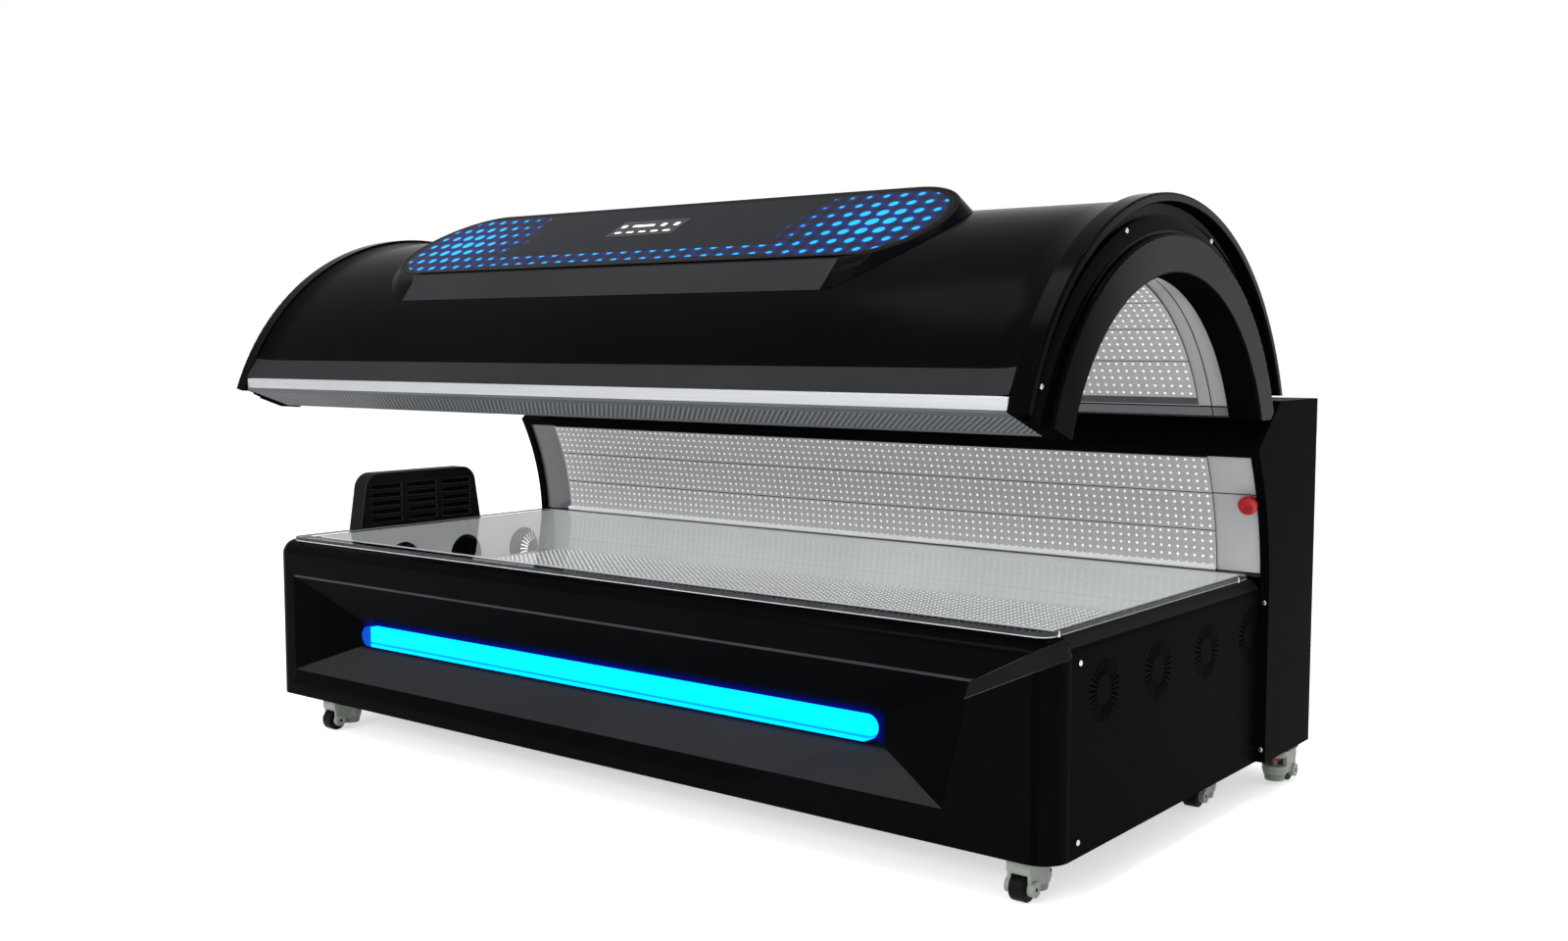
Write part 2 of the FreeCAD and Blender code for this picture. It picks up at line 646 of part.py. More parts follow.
def offset_line(points, distance):
    """Moves an open line of points sideways, to the right of its run, with mitred corners."""
    normals = []
    for (x0, y0), (x1, y1) in zip(points, points[1:]):
        length = math.hypot(x1 - x0, y1 - y0)
        normals.append(((y1 - y0) / length, -(x1 - x0) / length))
    moved = []
    for index, (x, y) in enumerate(points):
        before = normals[max(index - 1, 0)]
        after = normals[min(index, len(normals) - 1)]
        blend = 1 + before[0] * after[0] + before[1] * after[1]
        reach = distance / blend
        moved.append((x + reach * (before[0] + after[0]), y + reach * (before[1] + after[1])))
    return moved


def rear_deck():
    """Bent cover of the rear cabinet: lip, slanted nose and flat deck."""
    top = [
        (s.nose_y + s.lip_back, s.nose_z - s.lip_drop),
        (s.nose_y, s.nose_z),
        (s.deck_front_y, s.deck_z),
        (s.back_y, s.deck_z),
    ]
    outline = top + offset_line(top, s.deck_wall)[::-1]
    deck = padded("deck_sheet", "YZ_Plane", outline, "2 * panel_face_x")
    holes = [
        rod(
            "deck_hole",
            "rod_hole",
            "deck_wall * 4",
            (f"{side} * hinge_x", "rod_y", "deck_z - deck_wall * 2"),
        )
        for side in (-1, 1)
    ]
    part("rear_deck", cut("rear_deck", deck, fuse("deck_holes", holes)))


def rear_back_panel():
    """Back panel with two fields of vent slots."""
    panel = block(
        "back_sheet",
        ("-panel_face_x", "panel_face_x"),
        ("back_y - deck_wall", "back_y"),
        ("base_bottom_z", "deck_z - deck_wall"),
    )
    middle_z = "(base_bottom_z + deck_z) / 2"
    vents = []
    for side in (-1, 1):
        for index in range(VENT_ROWS):
            z = f"{middle_z} + ({index} - {(VENT_ROWS - 1) / 2}) * vent_pitch"
            vents.append(
                block(
                    "vent",
                    (f"{side} * vent_x - vent_length / 2", f"{side} * vent_x + vent_length / 2"),
                    ("back_y - deck_wall * 2", "back_y + deck_wall"),
                    (f"{z} - vent_height / 2", f"{z} + vent_height / 2"),
                )
            )
    part("rear_back_panel", cut("rear_back_panel", panel, fuse("vents", vents)))


def wall_strip(inner, outer, low, high):
    """Closed outline of a curved strip between two wall radii and two angles about the wall's centre."""

    def at(radius, angle):
        return (WALL_CENTRE[0] + radius * math.cos(angle), WALL_CENTRE[1] + radius * math.sin(angle))

    middle = (low + high) / 2
    return [
        at(inner, low),
        (at(inner, middle), at(inner, high)),
        at(outer, high),
        (at(outer, middle), at(outer, low)),
    ]


def wall_angle(height, radius):
    return math.asin((height - WALL_CENTRE[1]) / radius)


def wall_liner():
    """Curved white sheet behind the wall's lamp boards."""
    inner = WALL_RADIUS + s.liner_set_back
    low = wall_angle(sheet_top_z + s.fit_gap, inner)
    high = wall_angle(s.nose_z - s.lip_drop / 2, inner)
    outline = wall_strip(inner, inner + s.liner_wall, low, high)
    part("wall_liner", padded("wall_liner", "YZ_Plane", outline, "2 * panel_face_x"))


def wall_lamp_boards():
    """Rows of curved lamp boards in front of the liner."""
    outer = WALL_RADIUS + s.liner_set_back - s.seat_gap
    inner = outer - s.board_wall
    low = wall_angle(sheet_top_z + s.board_gap, inner)
    high = wall_angle(s.nose_z - s.lip_drop - s.board_gap, inner)
    rows = int(s.wall_board_rows)
    pitch = (high - low) / rows
    boards = []
    for row in range(rows):
        first = low + row * pitch
        strip = wall_strip(inner, outer, first, first + pitch - s.board_gap / inner)
        wire = Part.Wire([edge.toShape() for edge in outline_edges(strip)])
        board = Part.Face(wire).extrude(V(0, 0, s.wall_boards_left_x + s.wall_boards_right_x))
        boards.append(board)
    group = Part.makeCompound(boards)
    group.Placement = FreeCAD.Placement(
        V(-s.wall_boards_left_x, 0, 0), FreeCAD.Rotation(V(0, 1, 0), V(0, 0, 1), V(1, 0, 0), "ZXY")
    )
    part("wall_lamp_boards", feature("wall_lamp_boards", Part.makeCompound([group])))


def stop_frame():
    """Place of the emergency stop: a point of the liner, and the direction out of the wall."""
    radius = WALL_RADIUS + s.liner_set_back
    angle = wall_angle(s.stop_z, radius)
    outward = V(0, -math.cos(angle), -math.sin(angle))
    at = V(s.stop_x, WALL_CENTRE[0] + radius * math.cos(angle), s.stop_z)
    return at, outward


def place_stop(obj):
    at, outward = stop_frame()
    obj.Placement = FreeCAD.Placement(OFFSET + at, FreeCAD.Rotation(V(0, 0, 1), outward))


def emergency_stop():
    """Collar on the wall, and the mushroom button that travels in it."""
    collar = turned(
        "stop_collar",
        "XZ_Plane",
        "Z_Axis",
        [
            (s.stop_bore, s.fit_gap),
            (s.stop_collar_radius, s.fit_gap),
            (s.stop_collar_radius, s.stop_collar_height),
            (s.stop_bore, s.stop_collar_height),
        ],
    )
    place_stop(collar)
    part("stop_collar", collar)
    under = s.stop_collar_height + s.stop_travel + 1
    top = under + s.stop_head_height
    round_in = s.stop_head_height / 2
    button = turned(
        "stop_button",
        "XZ_Plane",
        "Z_Axis",
        [
            (0, s.stop_travel + 1),
            (s.stop_stem, s.stop_travel + 1),
            (s.stop_stem, under),
            (s.stop_head_radius, under),
            (s.stop_head_radius, under + round_in),
            (
                (s.stop_head_radius - round_in * ARC_IN, under + round_in * (2 - ARC_IN)),
                (s.stop_head_radius - round_in, top),
            ),
            (0, top),
        ],
    )
    place_stop(button)
    part("stop_button", button)


def fan_frames():
    """Square fan housings on the right end panel, each with struts and a spindle."""
    back, face = s.panel_face_x - s.panel_wall - s.fan_depth, s.panel_face_x - s.panel_wall
    half = s.fan_side / 2
    frames = []
    for y in fan_centres():
        frame = box_shape((back, face), (y - half, y + half), (s.fan_z - half, s.fan_z + half))
        frame = frame.cut(Part.makeCylinder(s.fan_bore, s.fan_depth, V(back, y, s.fan_z), V(1, 0, 0)))
        spider = [
            Part.makeCylinder(s.fan_hub, s.strut_wall, V(back, y, s.fan_z), V(1, 0, 0)),
            Part.makeCylinder(s.fan_spindle, s.fan_spindle_length, V(back, y, s.fan_z), V(1, 0, 0)),
        ]
        for index in range(STRUT_COUNT):
            strut = box_shape(
                (back, back + s.strut_wall), (-s.strut_wall, s.strut_wall), (s.fan_hub / 2, s.fan_bore + 1)
            )
            strut.rotate(V(), V(1, 0, 0), (index + 0.5) * 360 / STRUT_COUNT)
            strut.translate(V(0, y, s.fan_z))
            spider.append(strut)
        frames.append(frame.multiFuse(spider).removeSplitter())
    part("fan_frames", feature("fan_frames", Part.makeCompound(frames)))


def fan_rotor(index, y):
    """Hub with pitched blades that runs on its housing's spindle."""
    back = s.panel_face_x - s.panel_wall - s.fan_depth + s.strut_wall + 1
    depth = s.fan_depth - 2 * s.strut_wall
    centre = V(back, y, s.fan_z)
    pieces = []
    for blade_index in range(BLADE_COUNT):
        blade = box_shape(
            (-s.blade_wall / 2, s.blade_wall / 2),
            (-s.blade_chord / 2, s.blade_chord / 2),
            (s.fan_hub - s.blade_wall, s.blade_tip),
        )
        blade.rotate(V(), V(0, 0, 1), -50)
        blade.rotate(V(), V(1, 0, 0), blade_index * 360 / BLADE_COUNT)
        blade.translate(centre + V(depth / 2, 0, 0))
        pieces.append(blade)
    rotor = Part.makeCylinder(s.fan_hub, depth, centre, V(1, 0, 0)).multiFuse(pieces)
    bore = Part.makeCylinder(s.fan_spindle + s.fan_fit, depth, centre, V(1, 0, 0))
    label = f"fan_rotor_{index + 1}"
    part(label, feature(label, rotor.cut(bore).removeSplitter()))


def air_hood():
    """Flat air duct on the left end with louvres that face the bed, and a flange to the end panel."""
    low, high, corner = s.hood_bottom_z, s.hood_top_z, s.hood_corner

    def side_outline(wall):
        foot, head = s.hood_half_y - wall, s.hood_top_half_y - wall
        top, bottom, bend = high - wall, low + wall, corner - wall
        lean = (foot - head) * bend / (top - bottom)
        nick = bend * ARC_IN
        return [
            (-foot, bottom),
            (foot, bottom),
            (head + lean, top - bend),
            ((head + lean / 2 - nick, top - nick), (head - bend, top)),
            (-head + bend, top),
            ((-head - lean / 2 + nick, top - nick), (-head - lean, top - bend)),
        ]

    def slab(name, wall):
        return padded(
            name,
            "YZ_Plane",
            side_outline(wall),
            f"hood_out_x - hood_face_x - {2 * wall}",
            x="-(hood_out_x + hood_face_x) / 2",
            y="hood_mid_y",
        )

    def flange(name, wall):
        return block(
            name,
            (f"-hood_face_x - {wall} * 2", "-panel_face_x"),
            (f"hood_mid_y - hood_flange_half_y + {wall}", f"hood_mid_y + hood_flange_half_y - {wall}"),
            (f"hood_bottom_z + {wall}", f"hood_flange_top_z - {wall}"),
        )

    shell = fuse("hood_solid", [slab("hood_outer", 0), flange("hood_flange", 0)])
    slots = []
    for column in range(LOUVRE_COLUMNS):
        for row in range(LOUVRE_ROWS):
            y = f"hood_mid_y + {column - (LOUVRE_COLUMNS - 1) / 2} * louvre_pitch_y"
            z = f"louvre_top_z - {row} * louvre_pitch_z"
            slots.append(
                block(
                    "louvre",
                    ("-hood_face_x - hood_wall * 1.5", "-hood_face_x + hood_wall"),
                    (f"{y} - louvre_length / 2", f"{y} + louvre_length / 2"),
                    (f"{z} - louvre_height", z),
                )
            )
    hollow = fuse("hood_space", [slab("hood_inner", s.hood_wall), flange("hood_throat", s.hood_wall)] + slots)
    part("air_hood", cut("air_hood", shell, hollow))


def lamp_drivers():
    """Power supplies of the lamp boards, in a row on the floor pan."""
    floor_z = s.base_bottom_z + s.pan_wall
    boxes = []
    for index in range(DRIVER_COUNT):
        middle = (index - (DRIVER_COUNT - 1) / 2) * s.driver_pitch
        boxes.append(
            box_shape(
                (middle - s.driver_length / 2, middle + s.driver_length / 2),
                (s.driver_y, s.driver_y + s.driver_width),
                (floor_z, floor_z + s.driver_height),
            )
        )
    part("lamp_drivers", feature("lamp_drivers", Part.makeCompound(boxes)))


def lift():
    """Two lift motors on the shelf, and the rods that push the canopy's hinge arms up."""
    shelf_top = s.shelf_z + s.shelf_wall
    motors, rods = [], []
    for side in (-1, 1):
        x = side * s.hinge_x
        foot = V(x, s.rod_y, shelf_top)
        tube = Part.makeCylinder(s.tube_radius, s.tube_top_z - shelf_top, foot)
        motor = box_shape(
            (x - side * s.tube_radius - s.motor_side / 2, x - side * s.tube_radius + s.motor_side / 2),
            (s.rod_y - s.tube_radius, s.rod_y + s.tube_radius),
            (shelf_top, shelf_top + s.motor_height),
        )
        bore_foot = s.rod_foot_z - s.deck_wall
        bore = Part.makeCylinder(s.rod_radius + s.rod_fit, s.tube_top_z - bore_foot, V(x, s.rod_y, bore_foot))
        motors.append(tube.fuse(motor).cut(bore).removeSplitter())
        tip_z = s.arm_bottom_z - s.fit_gap
        length = tip_z - s.rod_radius - s.rod_foot_z
        stick = Part.makeCylinder(s.rod_radius, length, V(x, s.rod_y, s.rod_foot_z))
        tip = Part.makeSphere(s.rod_radius, V(x, s.rod_y, tip_z - s.rod_radius))
        rods.append(stick.fuse(tip).removeSplitter())
    part("lift_motors", feature("lift_motors", Part.makeCompound(motors)))
    part("lift_rods", feature("lift_rods", Part.makeCompound(rods)))


def hinge_blocks():
    """Pairs of lugs on the deck, each pair with its hinge pin."""
    inner = s.arm_half + s.lug_gap
    outer = inner + s.lug_wall
    head = s.lug_half_y
    blocks = []
    for side in (-1, 1):
        x = side * s.hinge_x
        pieces = []
        for low, high in ((x - outer, x - inner), (x + inner, x + outer)):
            lug = box_shape((low, high), (s.hinge_y - head, s.hinge_y + head), (s.deck_z, s.hinge_z))
            cap = Part.makeCylinder(head, high - low, V(low, s.hinge_y, s.hinge_z), V(1, 0, 0))
            pieces += [lug, cap]
        pin = Part.makeCylinder(s.hinge_pin, 2 * outer, V(x - outer, s.hinge_y, s.hinge_z), V(1, 0, 0))
        blocks.append(pin.multiFuse(pieces).removeSplitter())
    part("hinge_blocks", feature("hinge_blocks", Part.makeCompound(blocks)))


def canopy_shell():
    """Outer skin of the canopy with its flared front edge."""
    inner = s.shell_radius - s.shell_wall
    flare_y = -s.trim_front_y + s.trim_depth / 2
    outline = [
        (flare_y, s.trim_top_z),
        on_circle(ARCH, s.shell_radius, s.flare_z, -1),
        ((s.arch_y, s.arch_z + s.shell_radius), on_circle(ARCH, s.shell_radius, s.shell_end_z, 1)),
        on_circle(ARCH, inner, s.shell_end_z, 1),
        ((s.arch_y, s.arch_z + inner), on_circle(ARCH, inner, s.flare_z, -1)),
        (flare_y + s.shell_wall * 1.2, s.trim_top_z),
    ]
    part("canopy_shell", padded("canopy_shell", "YZ_Plane", outline, "2 * end_back_x"))


def end_screw_points(x):
    return [
        V(
            x,
            s.arch_y + s.end_screw_radius * math.cos(math.radians(angle)),
            s.arch_z + s.end_screw_radius * math.sin(math.radians(angle)),
        )
        for angle in END_SCREW_ANGLES
    ]


def canopy_end(label, side):
    """End arch with a proud hoop, a screw groove, a shoulder band and a flat face."""
    bevel, hoop_in = s.face_round, s.hoop_radius - s.hoop_wall
    edge = s.hoop_edge
    half_section = [
        (s.sleeve_x, s.open_radius),
        (s.face_x - bevel, s.open_radius),
        ((s.face_x - bevel * ARC_IN, s.open_radius + bevel * ARC_IN), (s.face_x, s.open_radius + bevel)),
        (s.face_x, s.face_radius - bevel),
        ((s.face_x - bevel * ARC_IN, s.face_radius - bevel * ARC_IN), (s.face_x - bevel, s.face_radius)),
        (s.band_x + edge, s.face_radius),
        (s.band_x + edge, s.face_radius + edge),
        (s.band_x - edge, s.band_radius),
        (s.groove_x, s.band_radius),
        (s.groove_x, hoop_in),
        (s.hoop_x - edge, hoop_in),
        ((s.hoop_x - edge * ARC_IN, hoop_in + edge * ARC_IN), (s.hoop_x, hoop_in + edge)),
        (s.hoop_x, s.hoop_radius - edge),
        ((s.hoop_x - edge * ARC_IN, s.hoop_radius - edge * ARC_IN), (s.hoop_x - edge, s.hoop_radius)),
        (s.end_back_x, s.hoop_radius),
        (s.end_back_x, s.liner_radius - s.fit_gap),
        (s.sleeve_x, s.liner_radius - s.fit_gap),
    ]
    if side < 0:
        half_section = [
            tuple((-x, r) for x, r in item) if isinstance(item[0], tuple) else (-item[0], item[1])
            for item in half_section
        ]
    ring = turned(f"{label}_ring", "XY_Plane", "X_Axis", half_section)
    bind_place(ring, y="arch_y", z="arch_z")
    reach = s.hoop_radius * 2
    below = [
        (s.arch_y - reach, s.lip_z),
        (-front_reach, s.lip_z),
        (s.lip_inner_y, s.lip_bottom_z),
        (s.heel_y, s.lip_bottom_z),
        (s.heel_top_y, s.heel_top_z),
        (s.arch_y + reach, s.heel_top_z),
        (s.arch_y + reach, s.arch_z - reach),
        (s.arch_y - reach, s.arch_z - reach),
    ]
    underside = padded(f"{label}_below", "YZ_Plane", below, "4 * column_face_x")
    holes = []
    for at in end_screw_points(side * s.end_screw_x):
        foot = at - V(side * (s.screw_length + 1), 0, 0)
        sink_radius = s.end_screw_head + s.end_screw_sink
        holes.append(Part.makeCylinder(s.screw_hole, 2 * s.screw_length, foot, V(side, 0, 0)))
        holes.append(Part.makeCylinder(sink_radius, s.screw_length, at, V(side, 0, 0)))
    holes = Part.makeCompound(holes)
    tools = fuse(f"{label}_tools", [underside, feature(f"{label}_holes", holes)])
    part(label, cut(label, ring, tools))


def canopy_end_screws():
    points = [(at, V(side, 0, 0)) for side in (-1, 1) for at in end_screw_points(side * s.end_screw_x)]
    shape = Part.makeCompound([screw(at, outward, s.end_screw_head) for at, outward in points])
    part("canopy_end_screws", feature("canopy_end_screws", shape))


def cover_top_z(y):
    """Height of the upper face of the slanted light cover."""
    slope = (s.lip_z - s.lip_bottom_z) / (front_reach + s.lip_inner_y)
    front_z = s.lip_z - slope * (front_reach - s.trim_front_y) + s.cover_wall
    return front_z - slope * (y + s.trim_front_y)


def canopy_front_trim():
    """Bright metal strip along the canopy's front edge."""
    front, back = -s.trim_front_y, -s.trim_front_y + s.trim_depth
    outline = [
        (front, s.trim_top_z),
        (front, cover_top_z(front)),
        (back, cover_top_z(back)),
        (back, s.trim_top_z),
    ]
    part("canopy_front_trim", padded("canopy_front_trim", "YZ_Plane", outline, "2 * end_back_x"))


def canopy_light_cover():
    """Slanted lamp cover under the canopy's front edge."""
    front = -s.trim_front_y
    back = on_circle(ARCH, s.liner_radius + s.liner_wall + s.fit_gap, s.lip_bottom_z, -1)[0]
    outline = [
        (front, cover_top_z(front)),
        (back, cover_top_z(back)),
        (back, cover_top_z(back) - s.cover_wall),
        (front, cover_top_z(front) - s.cover_wall),
    ]
    part("canopy_light_cover", padded("canopy_light_cover", "YZ_Plane", outline, "2 * end_back_x"))


def canopy_liner():
    """White inner skin of the canopy."""
    outer = s.liner_radius + s.liner_wall
    foot_z = cover_top_z(0) + 1
    outline = [
        on_circle(ARCH, s.liner_radius, foot_z, -1),
        ((s.arch_y, s.arch_z + s.liner_radius), on_circle(ARCH, s.liner_radius, foot_z, 1)),
        on_circle(ARCH, outer, foot_z, 1),
        ((s.arch_y, s.arch_z + outer), on_circle(ARCH, outer, foot_z, -1)),
    ]
    part("canopy_liner", padded("canopy_liner", "YZ_Plane", outline, "2 * end_back_x"))


def canopy_lamp_boards():
    """Rows of lamp boards inside the liner."""
    outer = s.liner_radius - s.seat_gap
    inner = outer - s.board_wall
    low = math.asin((s.canopy_board_foot_z - s.arch_z) / inner)
    rows = int(s.canopy_board_rows)
    pitch = (math.pi - 2 * low) / rows
    span = pitch - s.board_gap / inner
    boards = []
    for row in range(rows):
        first = low + row * pitch + s.board_gap / inner / 2
        reach = s.canopy_board_half_x
        board = Part.makeCylinder(outer, 2 * reach, V(-reach, 0, 0), V(1, 0, 0), math.degrees(span))
        board = board.cut(Part.makeCylinder(inner, 2 * reach, V(-reach, 0, 0), V(1, 0, 0)))
        board = board.Solids[0]
        start = board.CenterOfMass
        board.rotate(V(), V(1, 0, 0), math.degrees(first + span / 2 - math.atan2(start.z, start.y)))
        board.translate(V(0, s.arch_y, s.arch_z))
        boards.append(board)
    part("canopy_lamp_boards", feature("canopy_lamp_boards", Part.makeCompound(boards)))


def canopy_frame():
    """Welded inner frame of the canopy: front rail, rear rail and three ribs."""
    inner = s.liner_radius + s.liner_wall + s.fit_gap
    outer = s.shell_radius - s.shell_wall - s.fit_gap
    rail_y = -s.trim_front_y + s.trim_depth
    rail = block(
        "front_rail",
        ("-end_back_x", "end_back_x"),
        (f"{rail_y}", f"{rail_y} + rail_side"),
        ("trim_top_z - rail_side - 3", "trim_top_z - 3"),
    )
    rail_top = s.shell_end_z - 1
    heel = [
        (s.arch_y + inner - s.rail_set, s.lip_bottom_z + s.liner_wall),
        (s.heel_y, s.lip_bottom_z + s.liner_wall),
        (s.heel_top_y - s.liner_wall, s.heel_top_z + 1),
        (s.rail_back_y, s.heel_top_z + 1),
        (s.rail_back_y, rail_top),
        (s.arch_y + inner - s.rail_set, rail_top),
    ]
    rear_rail = padded("rear_rail_solid", "YZ_Plane", heel, "2 * end_back_x")
    bore_line = offset_line([heel[-1]] + heel + heel[:1], -s.rail_wall)[1:-1]
    rear_bore = padded("rear_rail_bore", "YZ_Plane", bore_line, "2 * end_back_x")
    pieces = [rail, cut("rear_rail", rear_rail, rear_bore)]
    rib_z = s.trim_top_z - s.rail_side / 2
    rib = [
        on_circle(ARCH, outer, rib_z, -1),
        ((s.arch_y, s.arch_z + outer), on_circle(ARCH, outer, rail_top, 1)),
        on_circle(ARCH, inner, rail_top, 1),
        ((s.arch_y, s.arch_z + inner), on_circle(ARCH, inner, rib_z, -1)),
    ]
    for index in (-1, 0, 1):
        pieces.append(padded("rib", "YZ_Plane", rib, "rib_wall", x=f"{index} * rib_x"))
    part("canopy_frame", fuse("canopy_frame", pieces))


def canopy_hinge_arms():
    """Arms from the rear rail to the hinge pins."""
    tail = s.hinge_y + s.arm_top_z - s.hinge_z
    arms = []
    for side in (-1, 1):
        x = side * s.hinge_x
        arm = box_shape(
            (x - s.arm_half, x + s.arm_half), (s.rail_back_y, s.hinge_y), (s.arm_bottom_z, s.arm_top_z)
        )
        eye_at = V(x - s.arm_half, s.hinge_y, s.hinge_z)
        eye = Part.makeCylinder(tail - s.hinge_y, 2 * s.arm_half, eye_at, V(1, 0, 0))
        bore = Part.makeCylinder(s.hinge_pin + s.hinge_fit, 2 * s.arm_half, eye_at, V(1, 0, 0))
        arms.append(arm.fuse(eye).cut(bore).removeSplitter())
    part("canopy_hinge_arms", feature("canopy_hinge_arms", Part.makeCompound(arms)))


def pod_place(obj):
    obj.Placement = FreeCAD.Placement(
        OFFSET + V(-s.pod_x, s.pod_y, s.pod_z), FreeCAD.Rotation(V(1, 0, 0), s.pod_tilt)
    )


def stadium_wire(straight, radius, z):
    wire = Part.Wire([edge.toShape() for edge in outline_edges(stadium(straight, radius))])
    wire.translate(V(0, 0, z))
    return wire


def control_pod():
    """Raised pod on the canopy: flared housing, cover plate and display window."""
    rim = s.plate_radius + s.pod_rim
    foot_radius = rim + (s.pod_front_flare + s.pod_rear_flare) / 2
    foot = stadium_wire(s.pod_foot_straight, foot_radius, -s.pod_depth)
    foot.translate(V(0, (s.pod_rear_flare - s.pod_front_flare) / 2, 0))
    housing = Part.makeLoft([foot, stadium_wire(s.pod_straight, rim, 0)], True, True)
    seat = Part.Face(stadium_wire(s.pod_straight, s.plate_radius + s.fit_gap, -s.plate_wall))
    housing = housing.cut(seat.extrude(V(0, 0, s.plate_wall * 2)))
    tilt = math.radians(-s.pod_tilt)
    to_arch = V(0, s.arch_y - s.pod_y, s.arch_z - s.pod_z)
    axis_y = to_arch.y * math.cos(tilt) - to_arch.z * math.sin(tilt)
    axis_z = to_arch.y * math.sin(tilt) + to_arch.z * math.cos(tilt)
    length = 4 * s.pod_straight
    dome = Part.makeCylinder(s.shell_radius + s.fit_gap, length, V(-length / 2, axis_y, axis_z), V(1, 0, 0))
    box = feature("pod_housing", housing.cut(dome).removeSplitter(), moved=False)
    pod_place(box)
    part("pod_housing", box)

    half_x, half_y = s.display_length / 2, s.display_width / 2
    gap = s.fit_gap
    window = box_shape(
        (-s.display_x - half_x - gap, -s.display_x + half_x + gap),
        (s.display_v - half_y - gap, s.display_v + half_y + gap),
        (-s.display_wall, s.display_wall),
    )
    plate_face = Part.Face(stadium_wire(s.pod_straight, s.plate_radius, -s.plate_wall))
    plate = feature("pod_plate", plate_face.extrude(V(0, 0, s.plate_wall)).cut(window), moved=False)
    pod_place(plate)
    part("pod_plate", plate)
    display = doc.addObject("Part::Box", "pod_display")
    bind(display, Length="display_length", Width="display_width", Height="display_wall")
    pod_place(display)
    corner = V(-s.display_x - half_x, s.display_v - half_y, -s.display_wall)
    display.Placement = display.Placement.multiply(FreeCAD.Placement(corner, FreeCAD.Rotation()))
    part("pod_display", display)


def caster_fork(label, x, y, heading):
    """Swivel fork with the wheel's arms on one side and the foot's housing on the other."""
    wheel_y, foot_y = y + heading * s.wheel_trail, y - heading * s.foot_trail
    half = s.wheel_width / 2 + s.fork_gap + s.fork_wall
    boss_half = half + s.boss_stand
    crown_z = 2 * s.wheel_radius + 2 * s.fork_gap
    front_y = wheel_y + heading * s.crown_reach
    crown = box_shape((x - half, x + half), tuple(sorted((front_y, foot_y))), (crown_z, s.fork_top_z))
    arm_y = tuple(sorted((wheel_y + heading * s.arm_reach, foot_y)))
    arms = box_shape((x - half, x + half), arm_y, (s.wheel_radius, crown_z))
    boss = Part.makeCylinder(
        s.boss_radius, 2 * boss_half, V(x - boss_half, wheel_y, s.wheel_radius), V(1, 0, 0)
    )
    waist_z = s.foot_house_z + s.house_taper_height
    house = Part.makeCylinder(s.foot_house_radius, s.fork_top_z - waist_z, V(x, foot_y, waist_z))
    skirt = Part.makeCone(
        s.foot_house_radius - s.house_taper,
        s.foot_house_radius,
        s.house_taper_height,
        V(x, foot_y, s.foot_house_z),
    )
    body = crown.multiFuse([arms, boss, house, skirt])
    slot_half = s.wheel_width / 2 + s.fork_gap
    wheel_space = Part.makeCylinder(
        s.wheel_radius + s.fork_gap, 2 * slot_half, V(x - slot_half, wheel_y, s.wheel_radius), V(1, 0, 0)
    )
    nose_y = tuple(sorted((wheel_y, wheel_y + heading * 3 * s.wheel_radius)))
    nose_space = box_shape((x - slot_half, x + slot_half), nose_y, (0, s.wheel_radius + s.fork_gap))
    axle_half = boss_half + 1
    axle_hole = Part.makeCylinder(
        s.axle_radius + s.axle_fit, 2 * axle_half, V(x - axle_half, wheel_y, s.wheel_radius), V(1, 0, 0)
    )
    stem_hole = Part.makeCylinder(s.stem_radius + s.stem_fit, s.fork_top_z, V(x, foot_y, 0))
    dial_low = s.dial_z - s.foot_travel - s.dial_gap
    dial_high = s.dial_z + s.dial_wall + s.dial_gap
    dial_space = Part.makeCylinder(s.dial_radius + s.dial_gap, dial_high - dial_low, V(x, foot_y, dial_low))
    window_y = tuple(sorted((foot_y, foot_y - heading * 2 * s.foot_house_radius)))
    window = box_shape((x - s.foot_house_radius, x + s.foot_house_radius), window_y, (dial_low, dial_high))
    stud_hole = Part.makeCylinder(
        s.stud_radius + s.stud_fit, s.fork_top_z, V(x, y, s.stud_bottom_z - 1)
    )
    for tool in (wheel_space, nose_space, axle_hole, stem_hole, dial_space, window, stud_hole):
        body = body.cut(tool)
    part(label, feature(label, body.removeSplitter()))


def caster_wheel(label, x, y, heading):
    """Wheel with its axle stubs, which run in the fork."""
    wheel_y = y + heading * s.wheel_trail
    half = s.wheel_width / 2
    tyre = Part.makeCylinder(s.wheel_radius, 2 * half, V(x - half, wheel_y, s.wheel_radius), V(1, 0, 0))
    tyre = tyre.makeFillet(s.wheel_round, [edge for edge in tyre.Edges if edge.Closed and edge.Length > 1])
    axle_half = half + s.fork_gap + s.fork_wall + s.boss_stand
    axle = Part.makeCylinder(
        s.axle_radius, 2 * axle_half, V(x - axle_half, wheel_y, s.wheel_radius), V(1, 0, 0)
    )
    part(label, feature(label, tyre.fuse(axle).removeSplitter()))


def caster_foot(label, x, y, heading):
    """Levelling foot: pad, threaded stem and hand dial in one screw."""
    foot_y = y - heading * s.foot_trail
    pad_height = s.foot_house_z - s.pad_gap - s.pad_bottom_z
    pad = Part.makeCone(
        s.pad_radius - s.pad_taper, s.pad_radius, pad_height, V(x, foot_y, s.pad_bottom_z)
    )
    stem = Part.makeCylinder(
        s.stem_radius, s.dial_z + s.dial_wall - s.pad_bottom_z, V(x, foot_y, s.pad_bottom_z)
    )
    dial = Part.makeCylinder(s.dial_radius, s.dial_wall, V(x, foot_y, s.dial_z))
    part(label, feature(label, pad.multiFuse([stem, dial]).removeSplitter()))


def casters():
    for name, x, y, heading in CASTERS:
        caster_fork(f"caster_fork_{name}", x, y, heading)
        caster_wheel(f"caster_wheel_{name}", x, y, heading)
        caster_foot(f"caster_foot_{name}", x, y, heading)


